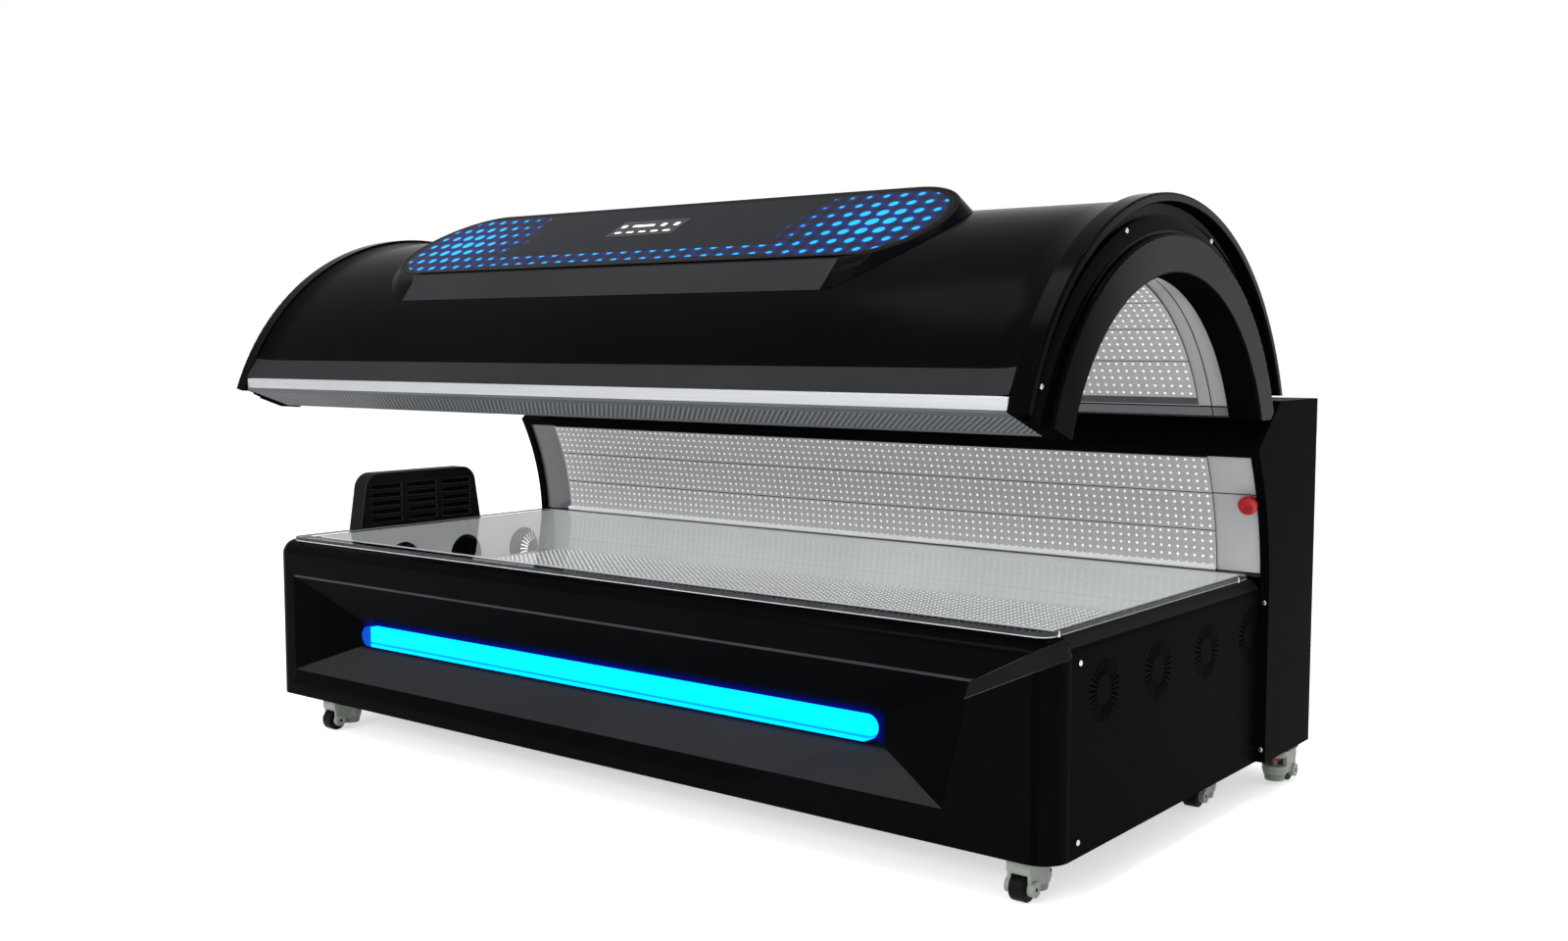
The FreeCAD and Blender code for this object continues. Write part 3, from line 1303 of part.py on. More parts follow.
def build():
    base_pan()
    base_frame()
    front_fascia()
    fascia_light_bar()
    for label, side in (("end_panel_left", -1), ("end_panel_right", 1)):
        end_panel(label, side)
    end_panel_screws()
    bed_sheet()
    bed_tray()
    bed_lamp_boards()
    for label, side in (("rear_side_left", -1), ("rear_side_right", 1)):
        rear_side(label, side)
    rear_deck()
    rear_back_panel()
    wall_liner()
    wall_lamp_boards()
    emergency_stop()
    fan_frames()
    for index, y in enumerate(fan_centres()):
        fan_rotor(index, y)
    air_hood()
    lamp_drivers()
    lift()
    hinge_blocks()
    canopy_shell()
    for label, side in (("canopy_end_left", -1), ("canopy_end_right", 1)):
        canopy_end(label, side)
    canopy_end_screws()
    canopy_front_trim()
    canopy_light_cover()
    canopy_liner()
    canopy_lamp_boards()
    canopy_frame()
    canopy_hinge_arms()
    control_pod()
    casters()


def write_parts():
    doc.recompute()
    for obj in doc.Objects:
        if "Invalid" in obj.State or "Error" in obj.State:
            raise RuntimeError(f"{obj.Label} failed to recompute: {obj.State}")
    os.makedirs("parts", exist_ok=True)
    for obj in PARTS:
        if obj.Shape.isNull() or not obj.Shape.isValid() or not obj.Shape.Solids:
            raise RuntimeError(f"{obj.Label} has no valid solid")
        obj.Shape.exportStep(os.path.join("parts", f"{obj.Label}.step"))
    print(len(PARTS), "parts written")


build()
write_parts()
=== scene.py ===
"""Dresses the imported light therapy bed: softened covers, lenses, lit parts, finishes, stage and camera."""
import json
import math

import bmesh
import bpy
from mathutils import Matrix, Vector

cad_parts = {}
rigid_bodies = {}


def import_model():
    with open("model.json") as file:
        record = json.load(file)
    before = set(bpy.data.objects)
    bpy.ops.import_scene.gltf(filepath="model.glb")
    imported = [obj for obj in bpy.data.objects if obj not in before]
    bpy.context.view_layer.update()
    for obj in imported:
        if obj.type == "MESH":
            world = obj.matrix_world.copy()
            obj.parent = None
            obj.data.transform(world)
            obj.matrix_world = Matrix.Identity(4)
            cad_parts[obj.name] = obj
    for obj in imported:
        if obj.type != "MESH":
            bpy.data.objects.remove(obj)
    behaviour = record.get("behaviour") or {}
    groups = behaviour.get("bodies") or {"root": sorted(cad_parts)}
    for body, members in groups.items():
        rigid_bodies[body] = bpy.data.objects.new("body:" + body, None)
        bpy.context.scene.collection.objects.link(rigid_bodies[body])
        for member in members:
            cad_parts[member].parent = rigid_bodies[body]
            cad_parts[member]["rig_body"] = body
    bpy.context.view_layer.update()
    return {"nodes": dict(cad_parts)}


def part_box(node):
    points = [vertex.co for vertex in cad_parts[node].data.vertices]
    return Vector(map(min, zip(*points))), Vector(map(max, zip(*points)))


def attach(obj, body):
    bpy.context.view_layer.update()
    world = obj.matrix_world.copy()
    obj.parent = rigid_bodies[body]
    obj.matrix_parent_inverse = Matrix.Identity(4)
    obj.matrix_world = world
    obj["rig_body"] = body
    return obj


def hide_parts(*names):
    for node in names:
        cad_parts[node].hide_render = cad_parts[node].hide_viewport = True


bl_info = {
    "name": "Light Therapy Bed Looks",
    "version": (1, 0, 0),
    "blender": (4, 5, 0),
    "location": "View3D > Sidebar > Light Bed",
    "description": "Dresses the CAD frame of a light therapy bed with finishes, lenses and lit parts",
    "category": "Object",
}

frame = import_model()
NODES = frame["nodes"]

MM = 0.001
FRONT_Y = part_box("front_fascia")[0].y
# Axes, radii and tilt of the curved parts, as the CAD source has them
ARCH = Vector((0.0, FRONT_Y + 414 * MM, 660 * MM))
WALL_AXIS = Vector((0.0, FRONT_Y + 257.746 * MM, 445.314 * MM))
WALL_RADIUS = 624.745 * MM
CANOPY_LAMP_RADIUS = 436 * MM
CANOPY_BOARDS, WALL_BOARDS = 11, 3
POD_TILT = math.radians(28)
POD_AT = Vector((-7 * MM, FRONT_Y + 205.79 * MM, 1192.82 * MM))
POD = Matrix.Translation(POD_AT) @ Matrix.Rotation(POD_TILT, 4, "X")
# The fascia's recess, and the end of its rim at the right
RECESS_BOTTOM, RECESS_TOP, RECESS_REACH = 140 * MM, 381 * MM, 1070 * MM
RIM_END_X = 960 * MM
# The fascia's left corner starts here
CORNER_X = -1030 * MM
# A point on each long side of the fascia's lip, the upper one first, with the direction across that side
LIP_SIDES = (
    (Vector((0.9390, FRONT_Y, RECESS_TOP)), Vector((-0.4745, 0.0, 0.8802))),
    (Vector((0.9320, FRONT_Y, 0.350)), Vector((-0.4256, 0.0, 0.9050))),
)
LIP_FOOT_X, LIP_DROP = 930 * MM, 35 * MM
LIP_RISE, LIP_SLOPE = 3.5 * MM, 1.8 * MM
# Places of the fascia's finishes in its material slots, after the gloss black of its front: a satin with
# painted sheen, a black with painted glow, and paler corner and edge finishes that paint highlights
RECESS_SATIN, RECESS_BLACK, CORNER, EDGE = 1, 2, 3, 4
# The satin band at the canopy's lower front, with a painted sheen, and the hollow flare at the ends of its
# skin
BAND_TOP = 919 * MM
FLARE_CUTS = (0.985, 1.0, 1.012, 1.024, 1.034, 1.044)
FLARE_RISE = 8 * MM
# The flat outer faces of the end arches lie past this
END_FACE_X = 1070 * MM
# Points closer than this are merged, and edges flatter than this are dissolved, in a cover
MERGE_DISTANCE, FLAT_TURN = 2e-6, math.radians(0.3)
CUT_DISTANCE, LENS_CUT_DISTANCE = 1e-6, 1e-7
SHARP_TURN = math.radians(35)
UP = Vector((0, 0, 1))
# A lens's dome by its radius: its height, and how far below its middle it is cut off
DOME_HEIGHT, DOME_FOOT = 0.55, 0.02
# The camera, as found from the photo's vanishing points
CAMERA_LENS, CAMERA_SENSOR = 35.994, 36.0
CAMERA_AT = Vector((2.3356, FRONT_Y - 2.2859, 0.9602))
CAMERA_FORWARD = Vector((-0.61817, 0.78186, -0.08100))
CAMERA_RIGHT = Vector((0.78443, 0.62021, 0.0))
FLOOR_HALF = 14
# Name, place, target, width, height and power of each softbox
SOFTBOXES = (
    ("softbox_top", (0.2, -0.4, 4.0), (0.0, 0.0, 0.6), 3.2, 1.2, 70),
    ("softbox_front", (-0.4, -4.6, 2.3), (0.0, 0.2, 0.6), 4.0, 1.2, 100),
)
# Drift, colours, roughness, grain and bump of the satin charcoal mouldings, as surface() takes them; their
# charcoal is a painted sheen
SATIN_SHEEN = (350, "#262729", "#2b2c2e", (0.34, 0.42), 4, 0.05)
SIDES = ("left", "right")
CASTERS = [f"{row}_{side}" for row in ("front", "middle", "rear") for side in SIDES]


class BedSizes(bpy.types.PropertyGroup):
    """Sizes of the fine forms that are added to the CAD frame."""

    cover_edge: bpy.props.FloatProperty(
        name="Cover edge", description="Rounding of the moulded covers", default=3 * MM, unit="LENGTH"
    )
    recess_edge: bpy.props.FloatProperty(
        name="Recess edge", description="Rounding of the recess rim", default=3 * MM, unit="LENGTH"
    )
    panel_edge: bpy.props.FloatProperty(
        name="Panel edge", description="Rounding of the bent panels", default=1.2 * MM, unit="LENGTH"
    )
    lens_radius: bpy.props.FloatProperty(
        name="Lens radius", description="Radius of one lamp lens", default=3.1 * MM, unit="LENGTH"
    )
    lens_pitch: bpy.props.FloatProperty(
        name="Lens pitch", description="Distance between lenses along the bed", default=19 * MM, unit="LENGTH"
    )
    rows_per_board: bpy.props.IntProperty(
        name="Lens rows", description="Lens rows on each wall or canopy board", default=5
    )
    bed_lens_rows: bpy.props.IntProperty(
        name="Bed lens rows", description="Lens rows under the bed sheet", default=48
    )


class BedColours(bpy.types.PropertyGroup):
    """Colours of the main finishes, as sRGB hex values."""

    cover: bpy.props.StringProperty(name="Covers", description="Gloss moulded covers", default="#070708")
    panel: bpy.props.StringProperty(name="Panels", description="Powder coated panels", default="#0b0b0d")
    board: bpy.props.StringProperty(name="Lamp boards", description="White printed boards", default="#d1d2d3")
    liner: bpy.props.StringProperty(name="Liners", description="Gloss white liners", default="#bfc0c2")
    bar: bpy.props.StringProperty(name="Light bar", description="Glow of the light bar", default="#0090ff")
    glow: bpy.props.StringProperty(name="Plate glow", description="Glow of the pod plate", default="#00a4ff")
    stop: bpy.props.StringProperty(name="Stop button", description="Emergency stop", default="#c01018")
    caster: bpy.props.StringProperty(name="Casters", description="Moulded caster forks", default="#969c94")


def sizes():
    """The sizes that the panel shows."""
    return bpy.context.scene.bed_sizes


def colours():
    """The colours that the panel shows."""
    return bpy.context.scene.bed_colours


def linear(code):
    """Linear RGBA of an sRGB hex colour."""
    parts = [int(code[i : i + 2], 16) / 255 for i in (1, 3, 5)]
    return [c / 12.92 if c <= 0.04045 else ((c + 0.055) / 1.055) ** 2.4 for c in parts] + [1.0]


def add(tree, kind, inputs=None, **settings):
    """Adds a shader node with its settings; an input is a value or a socket to link."""
    made = tree.nodes.new("ShaderNode" + kind)
    for name, value in settings.items():
        setattr(made, name, value)
    for name, value in (inputs or {}).items():
        socket = made.inputs[name]
        if isinstance(value, bpy.types.NodeSocket):
            tree.links.new(value, socket)
        else:
            socket.default_value = value
    return made


def new_material(name, **shader):
    """A material with a principled shader; keyword names use _ for spaces."""
    made = bpy.data.materials.new(name)
    made.use_nodes = True
    tree = made.node_tree
    bsdf = tree.nodes["Principled BSDF"]
    for key, value in shader.items():
        bsdf.inputs[key.replace("_", " ")].default_value = value
    return made, tree, bsdf


def surface(tree, bsdf, tint_mm, low, high, rough, grain_mm, height):
    """Gives a shader broad colour and roughness drift and a fine bump, all from Object coordinates."""
    place = add(tree, "TexCoord").outputs["Object"]
    drift = add(tree, "TexNoise", {"Vector": place, "Scale": 1000 / tint_mm, "Detail": 3.0})
    ramp = add(tree, "MapRange", {"Value": drift.outputs[0], "From Min": 0.3, "From Max": 0.7})
    mix = add(tree, "Mix", {0: ramp.outputs[0], 6: linear(low), 7: linear(high)}, data_type="RGBA")
    tree.links.new(mix.outputs[2], bsdf.inputs["Base Color"])
    haze = add(
        tree,
        "MapRange",
        {"Value": drift.outputs[0], "From Min": 0.2, "From Max": 0.8, "To Min": rough[0], "To Max": rough[1]},
    )
    tree.links.new(haze.outputs[0], bsdf.inputs["Roughness"])
    grain = add(tree, "TexNoise", {"Vector": place, "Scale": 1000 / grain_mm, "Detail": 2.0})
    bump = add(tree, "Bump", {"Height": grain.outputs[0], "Strength": 0.2, "Distance": height * MM})
    tree.links.new(bump.outputs[0], bsdf.inputs["Normal"])
    return place, mix.outputs[2]


def one_surface(name, *look, **shader):
    """A finish with one surface all over; its look is what surface() takes."""
    made, tree, bsdf = new_material(name, **shader)
    surface(tree, bsdf, *look)
    return made


FINISHES = {}


def finish(name, make):
    """Makes a finish once and hands it out again by name."""
    if name not in FINISHES:
        FINISHES[name] = make(name)
    return FINISHES[name]


def abs_gloss_black(name):
    """Moulded gloss ABS: deep black, clean reflections with a faint orange peel."""
    return one_surface(
        name, 400, "#040405", colours().cover, (0.12, 0.18), 9, 0.05, IOR=1.5, Specular_IOR_Level=0.012
    )


def abs_shell_black(name):
    """Vacuum formed ABS skin of the canopy: blue black, a broad soft sheen."""
    return one_surface(
        name, 500, "#050506", "#08080b", (0.17, 0.23), 12, 0.06, IOR=1.5, Specular_IOR_Level=0.007
    )


def abs_sheen_and_shade(name):
    """Flat faces of the end arches: satin ABS with a painted sheen, charcoal at the crown, faded to black at
    the front foot by painted shade.
    """
    made, tree, bsdf = new_material(name, IOR=1.5, Specular_IOR_Level=0.01)
    # The charcoal colour is a painted sheen
    place, crown = surface(tree, bsdf, 350, "#3b3c3e", "#414244", (0.32, 0.4), 4, 0.05)
    axes = add(tree, "SeparateXYZ", {0: place})
    # Painted shade: darkens the face to black towards the front foot
    fade = add(
        tree,
        "MapRange",
        {"Value": axes.outputs[1], "From Min": ARCH.y - 420 * MM, "From Max": ARCH.y - 40 * MM},
        interpolation_type="SMOOTHSTEP",
    )
    tone = add(tree, "Mix", {0: fade.outputs[0], 6: linear("#070708"), 7: crown}, data_type="RGBA")
    tree.links.new(tone.outputs[2], bsdf.inputs["Base Color"])
    return made


def abs_edge_highlight(name):
    """Rounded edges of the mouldings: a paler charcoal that paints a fine highlight line along them."""
    return one_surface(
        name, 120, "#2b2c2f", "#3a3b3e", (0.25, 0.34), 4, 0.04, IOR=1.5, Specular_IOR_Level=0.05
    )


def abs_matt_black(name):
    """Undersides of the mouldings: unpolished ABS, dead black."""
    return one_surface(name, 200, "#060607", "#0a0a0b", (0.6, 0.7), 3, 0.06, Specular_IOR_Level=0.0)


def hood_black_and_highlight(name):
    """Textured ABS of the air hood; on the fascia's left corner and lip and the end panels' round tops its
    paler black is a painted highlight.
    """
    return one_surface(name, 150, "#161618", "#1c1c1e", (0.42, 0.5), 2, 0.1, IOR=1.5, Specular_IOR_Level=0.02)


def recess_black(name):
    """Upper side of the recess: gloss black ABS with a painted blue glow, as emission, along its edge next to
    the bar below it.
    """
    made, tree, bsdf = new_material(name, IOR=1.5, Specular_IOR_Level=0.004)
    place, _ = surface(tree, bsdf, 400, "#040405", "#060608", (0.14, 0.2), 9, 0.05)
    low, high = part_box("fascia_light_bar")
    axes = add(tree, "SeparateXYZ", {0: place})
    # Painted glow: blue emission that fades upwards from the bar's top and towards its ends
    near = add(
        tree,
        "MapRange",
        {
            "Value": axes.outputs[2],
            "From Min": high.z - 4 * MM,
            "From Max": high.z + 30 * MM,
            "To Min": 1.0,
            "To Max": 0.0,
        },
    )
    fall = add(tree, "Math", {0: near.outputs[0], 1: 3.0}, operation="POWER")
    before, after = 20 * MM, 30 * MM
    left = add(
        tree,
        "MapRange",
        {"Value": axes.outputs[0], "From Min": low.x - before, "From Max": low.x + after},
    )
    right = add(
        tree,
        "MapRange",
        {"Value": axes.outputs[0], "From Min": high.x + before, "From Max": high.x - after},
    )
    span = add(tree, "Math", {0: left.outputs[0], 1: right.outputs[0]}, operation="MULTIPLY")
    part = add(tree, "Math", {0: fall.outputs[0], 1: span.outputs[0]}, operation="MULTIPLY")
    glow = add(tree, "Math", {0: part.outputs[0], 1: 0.35}, operation="MULTIPLY")
    bsdf.inputs["Emission Color"].default_value = linear("#0026ff")
    tree.links.new(glow.outputs[0], bsdf.inputs["Emission Strength"])
    return made


def recess_sheen_and_shadow(name):
    """Lower facet of the recess: satin ABS whose charcoal is a painted sheen, black in a painted narrow
    shadow under the bar.
    """
    made, tree, bsdf = new_material(name, IOR=1.5, Specular_IOR_Level=0.02)
    place, plain = surface(tree, bsdf, *SATIN_SHEEN)
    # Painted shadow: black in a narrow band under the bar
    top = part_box("fascia_light_bar")[0].z
    height = add(tree, "SeparateXYZ", {0: place}).outputs[2]
    shade = add(tree, "MapRange", {"Value": height, "From Min": top - 14 * MM, "From Max": top - 7 * MM})
    tone = add(tree, "Mix", {0: shade.outputs[0], 6: plain, 7: linear("#050506")}, data_type="RGBA")
    tree.links.new(tone.outputs[2], bsdf.inputs["Base Color"])
    return made


def abs_painted_sheen(name):
    """Satin band at the canopy's lower front and facet along the pod's front: charcoal, a painted sheen."""
    return one_surface(name, *SATIN_SHEEN, IOR=1.5, Specular_IOR_Level=0.02)


def powder_black(name):
    """Powder coated sheet steel: dark and satin, with a fine pebble drawn at 2 mm so that it shows."""
    return one_surface(
        name, 300, "#070709", colours().panel, (0.34, 0.44), 2, 0.12, IOR=1.5, Specular_IOR_Level=0.003
    )


def acrylic_clear(name):
    """Cast acrylic sheet with a wiped coat: clear, low in reflection, a faint haze of wiping marks."""
    made, tree, bsdf = new_material(
        name, IOR=1.03, Transmission_Weight=1.0, Base_Color=linear("#fbfdfd")
    )
    place = add(tree, "TexCoord").outputs["Object"]
    smear = add(tree, "TexNoise", {"Vector": place, "Scale": 1000 / 180, "Detail": 3.0})
    rub = add(tree, "MapRange", {"Value": smear.outputs[0], "To Min": 0.0, "To Max": 0.03})
    tree.links.new(rub.outputs[0], bsdf.inputs["Roughness"])
    return made


def acrylic_edge(name):
    """Sawn side of the acrylic sheet: smoky grey, painted to stand for the dark base seen through the sheet.
    """
    return one_surface(name, 40, "#2c2e30", "#3a3c3e", (0.2, 0.3), 3, 0.03, IOR=1.49, Specular_IOR_Level=0.1)


def acrylic_highlight_line(name):
    """Polished corners of the acrylic sheet: thin bright lines, a painted highlight."""
    return one_surface(name, 40, "#c2c5c7", "#d8dadc", (0.15, 0.25), 3, 0.03, IOR=1.49)


def board_white(name):
    """Printed lamp board: matt white solder mask with a fine speckle, about 3 mm."""
    return one_surface(
        name, 6, "#c3c4c5", colours().board, (0.5, 0.62), 3, 0.05, IOR=1.5, Specular_IOR_Level=0.3
    )


def board_edge(name):
    """Sawn edge of a lamp board: dull grey fibre, dark enough to paint the shade in the seams between boards.
    """
    return one_surface(name, 20, "#3c3d3f", "#4a4b4d", (0.7, 0.8), 2, 0.1, Specular_IOR_Level=0.2)


def lens_silicone(name):
    """Moulded silicone lens over a lamp: milky white, brightened by a faint painted glow, as emission."""
    # Painted glow: emission that brightens the lenses
    return one_surface(
        name, 8, "#f1f2f3", "#ffffff", (0.2, 0.3), 2, 0.02,
        IOR=1.41,
        Emission_Strength=0.55,
        Emission_Color=linear("#ffffff"),
    )


def bead_white(name):
    """Silicone bead at the foot of the wall: soft white, brightened by a faint painted glow, as emission."""
    # Painted glow: emission that brightens the bead
    return one_surface(
        name, 60, "#eef0f1", "#f8f9fa", (0.35, 0.45), 4, 0.03,
        IOR=1.41,
        Specular_IOR_Level=0.3,
        Emission_Strength=0.08,
        Emission_Color=linear("#ffffff"),
    )


def wall_sheet(name):
    """The wall's sheet: gloss white at the right border, painted dark behind the boards as shade in their
    seams, slate at the left border.
    """
    made, tree, bsdf = new_material(name, IOR=1.5, Specular_IOR_Level=0.4)
    place, white = surface(tree, bsdf, 600, "#c4c5c7", "#cfd0d2", (0.12, 0.2), 15, 0.03)
    low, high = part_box("wall_lamp_boards")
    axes = add(tree, "SeparateXYZ", {0: place})
    right = add(tree, "Math", {0: axes.outputs[0], 1: high.x}, operation="GREATER_THAN")
    left = add(tree, "Math", {0: axes.outputs[0], 1: low.x}, operation="LESS_THAN")
    # Painted shade: dark behind the boards, so that their seams read dark
    behind = add(
        tree, "Mix", {0: left.outputs[0], 6: linear("#222325"), 7: linear("#64676b")}, data_type="RGBA"
    )
    first, last = wall_angle(low.z), wall_angle(high.z)
    seam_angle = first + (last - first) * (WALL_BOARDS - 1) / WALL_BOARDS
    seam_z = WALL_AXIS.z + WALL_RADIUS * math.sin(seam_angle)
    seam = add(tree, "Math", {0: axes.outputs[2], 1: seam_z, 2: 1.3 * MM}, operation="COMPARE")
    border = add(tree, "Mix", {0: seam.outputs[0], 6: white, 7: linear("#3c3d40")}, data_type="RGBA")
    tone = add(
        tree, "Mix", {0: right.outputs[0], 6: behind.outputs[2], 7: border.outputs[2]}, data_type="RGBA"
    )
    tree.links.new(tone.outputs[2], bsdf.inputs["Base Color"])
    return made


def canopy_sheet(name):
    """The canopy's liner: white ends past a fine black joint, painted dark behind the boards as shade in
    their seams, a grey sill below.
    """
    made, tree, bsdf = new_material(name, IOR=1.5, Specular_IOR_Level=0.5)
    place, white = surface(tree, bsdf, 600, "#b6b7b9", colours().liner, (0.12, 0.2), 15, 0.03)
    low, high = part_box("canopy_lamp_boards")
    axes = add(tree, "SeparateXYZ", {0: place})
    off = add(tree, "Math", {0: axes.outputs[0], 1: middle_x()}, operation="SUBTRACT")
    along = add(tree, "Math", {0: off.outputs[0]}, operation="ABSOLUTE")
    inside = add(tree, "Math", {0: along.outputs[0], 1: high.x - middle_x()}, operation="LESS_THAN")
    above = add(tree, "Math", {0: axes.outputs[2], 1: low.z + 2 * MM}, operation="GREATER_THAN")
    # Painted shade: dark behind the boards, so that their seams read dark
    behind = add(tree, "Math", {0: inside.outputs[0], 1: above.outputs[0]}, operation="MULTIPLY")
    strip = add(tree, "Math", {0: axes.outputs[2], 1: low.z - 6 * MM, 2: 9 * MM}, operation="COMPARE")
    shelf = add(tree, "Math", {0: inside.outputs[0], 1: strip.outputs[0]}, operation="MULTIPLY")
    joint = add(tree, "Math", {0: along.outputs[0], 1: 990 * MM, 2: 1.3 * MM}, operation="COMPARE")
    sill_z = low.z - 18 * MM
    groove = add(tree, "Math", {0: axes.outputs[2], 1: sill_z, 2: 1.6 * MM}, operation="COMPARE")
    line = add(tree, "Math", {0: joint.outputs[0], 1: groove.outputs[0]}, operation="MAXIMUM")
    sill = add(tree, "Math", {0: axes.outputs[2], 1: sill_z}, operation="LESS_THAN")
    tone = white
    for part, shade in ((shelf, "#55575a"), (sill, "#7c7d80"), (behind, "#222325"), (line, "#0a0a0b")):
        layer = add(tree, "Mix", {0: part.outputs[0], 6: tone, 7: linear(shade)}, data_type="RGBA")
        tone = layer.outputs[2]
    tree.links.new(tone, bsdf.inputs["Base Color"])
    return made


def aluminium_satin(name):
    """Anodised aluminium extrusion: pale and matt, with drawn lines along its length."""
    made, tree, bsdf = new_material(name, Metallic=0.6)
    place = add(tree, "TexCoord").outputs["Object"]
    along = add(tree, "Mapping", {"Vector": place, "Scale": (4.0, 900.0, 900.0)})
    lines = add(tree, "TexNoise", {"Vector": along.outputs[0], "Scale": 1.0, "Detail": 3.0})
    shade = add(
        tree, "Mix", {0: lines.outputs[0], 6: linear("#9fa1a4"), 7: linear("#bcbec1")}, data_type="RGBA"
    )
    tree.links.new(shade.outputs[2], bsdf.inputs["Base Color"])
    rough = add(tree, "MapRange", {"Value": lines.outputs[0], "To Min": 0.4, "To Max": 0.52})
    tree.links.new(rough.outputs[0], bsdf.inputs["Roughness"])
    return made


def cover_prismatic(name):
    """Perforated polycarbonate lamp cover: grey, with staggered holes drawn at 9 mm so that they show."""
    made, tree, bsdf = new_material(name, IOR=1.58, Specular_IOR_Level=0.008)
    place, plain = surface(tree, bsdf, 200, "#585b5d", "#606365", (0.4, 0.5), 3, 0.05)
    low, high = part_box("canopy_light_cover")
    turned = add(tree, "Mapping", {"Vector": place, "Rotation": (0.0, 0.0, math.radians(45))})
    holes = add(
        tree,
        "TexVoronoi",
        {"Vector": turned.outputs[0], "Scale": 1000 / 9, "Randomness": 0.0},
        voronoi_dimensions="2D",
    )
    hole = add(
        tree, "MapRange", {"Value": holes.outputs["Distance"], "From Min": 0.34, "From Max": 0.44}
    )
    axes = add(tree, "SeparateXYZ", {0: place})
    front = add(tree, "Math", {0: axes.outputs[1], 1: low.y + 20 * MM}, operation="GREATER_THAN")
    back = add(tree, "Math", {0: axes.outputs[1], 1: high.y - 14 * MM}, operation="LESS_THAN")
    band = add(tree, "Math", {0: front.outputs[0], 1: back.outputs[0]}, operation="MULTIPLY")
    net = add(tree, "Mix", {0: hole.outputs[0], 6: linear("#2b2d2e"), 7: linear("#7e8183")}, data_type="RGBA")
    tone = add(tree, "Mix", {0: band.outputs[0], 6: plain, 7: net.outputs[2]}, data_type="RGBA")
    tree.links.new(tone.outputs[2], bsdf.inputs["Base Color"])
    return made


def bar_lit(name):
    """Lit acrylic light guide: even cyan glow, a blue end cap and one fine seam along it."""
    made, tree, bsdf = new_material(
        name, Roughness=0.3, Specular_IOR_Level=0.01, Base_Color=linear("#00141c")
    )
    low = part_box("fascia_light_bar")[0]
    axes = add(tree, "SeparateXYZ", {0: add(tree, "TexCoord").outputs["Object"]})
    cap = add(
        tree,
        "MapRange",
        {"Value": axes.outputs[0], "From Min": low.x + 32 * MM, "From Max": low.x + 36 * MM},
    )
    below = add(tree, "Math", {0: axes.outputs[2], 1: low.z + 10 * MM}, operation="SUBTRACT")
    off_seam = add(tree, "Math", {0: below.outputs[0]}, operation="ABSOLUTE")
    seam = add(tree, "MapRange", {"Value": off_seam.outputs[0], "From Min": 1.2 * MM, "From Max": 3.2 * MM})
    dim = add(tree, "MapRange", {"Value": seam.outputs[0], "To Min": 1.5, "To Max": 3.6})
    strength = add(
        tree, "MapRange", {"Value": cap.outputs[0], "To Min": 0.75, "To Max": dim.outputs[0]}
    )
    tone = add(
        tree, "Mix", {0: cap.outputs[0], 6: linear("#0a5cf0"), 7: linear(colours().bar)}, data_type="RGBA"
    )
    tree.links.new(tone.outputs[2], bsdf.inputs["Emission Color"])
    tree.links.new(strength.outputs[0], bsdf.inputs["Emission Strength"])
    return made


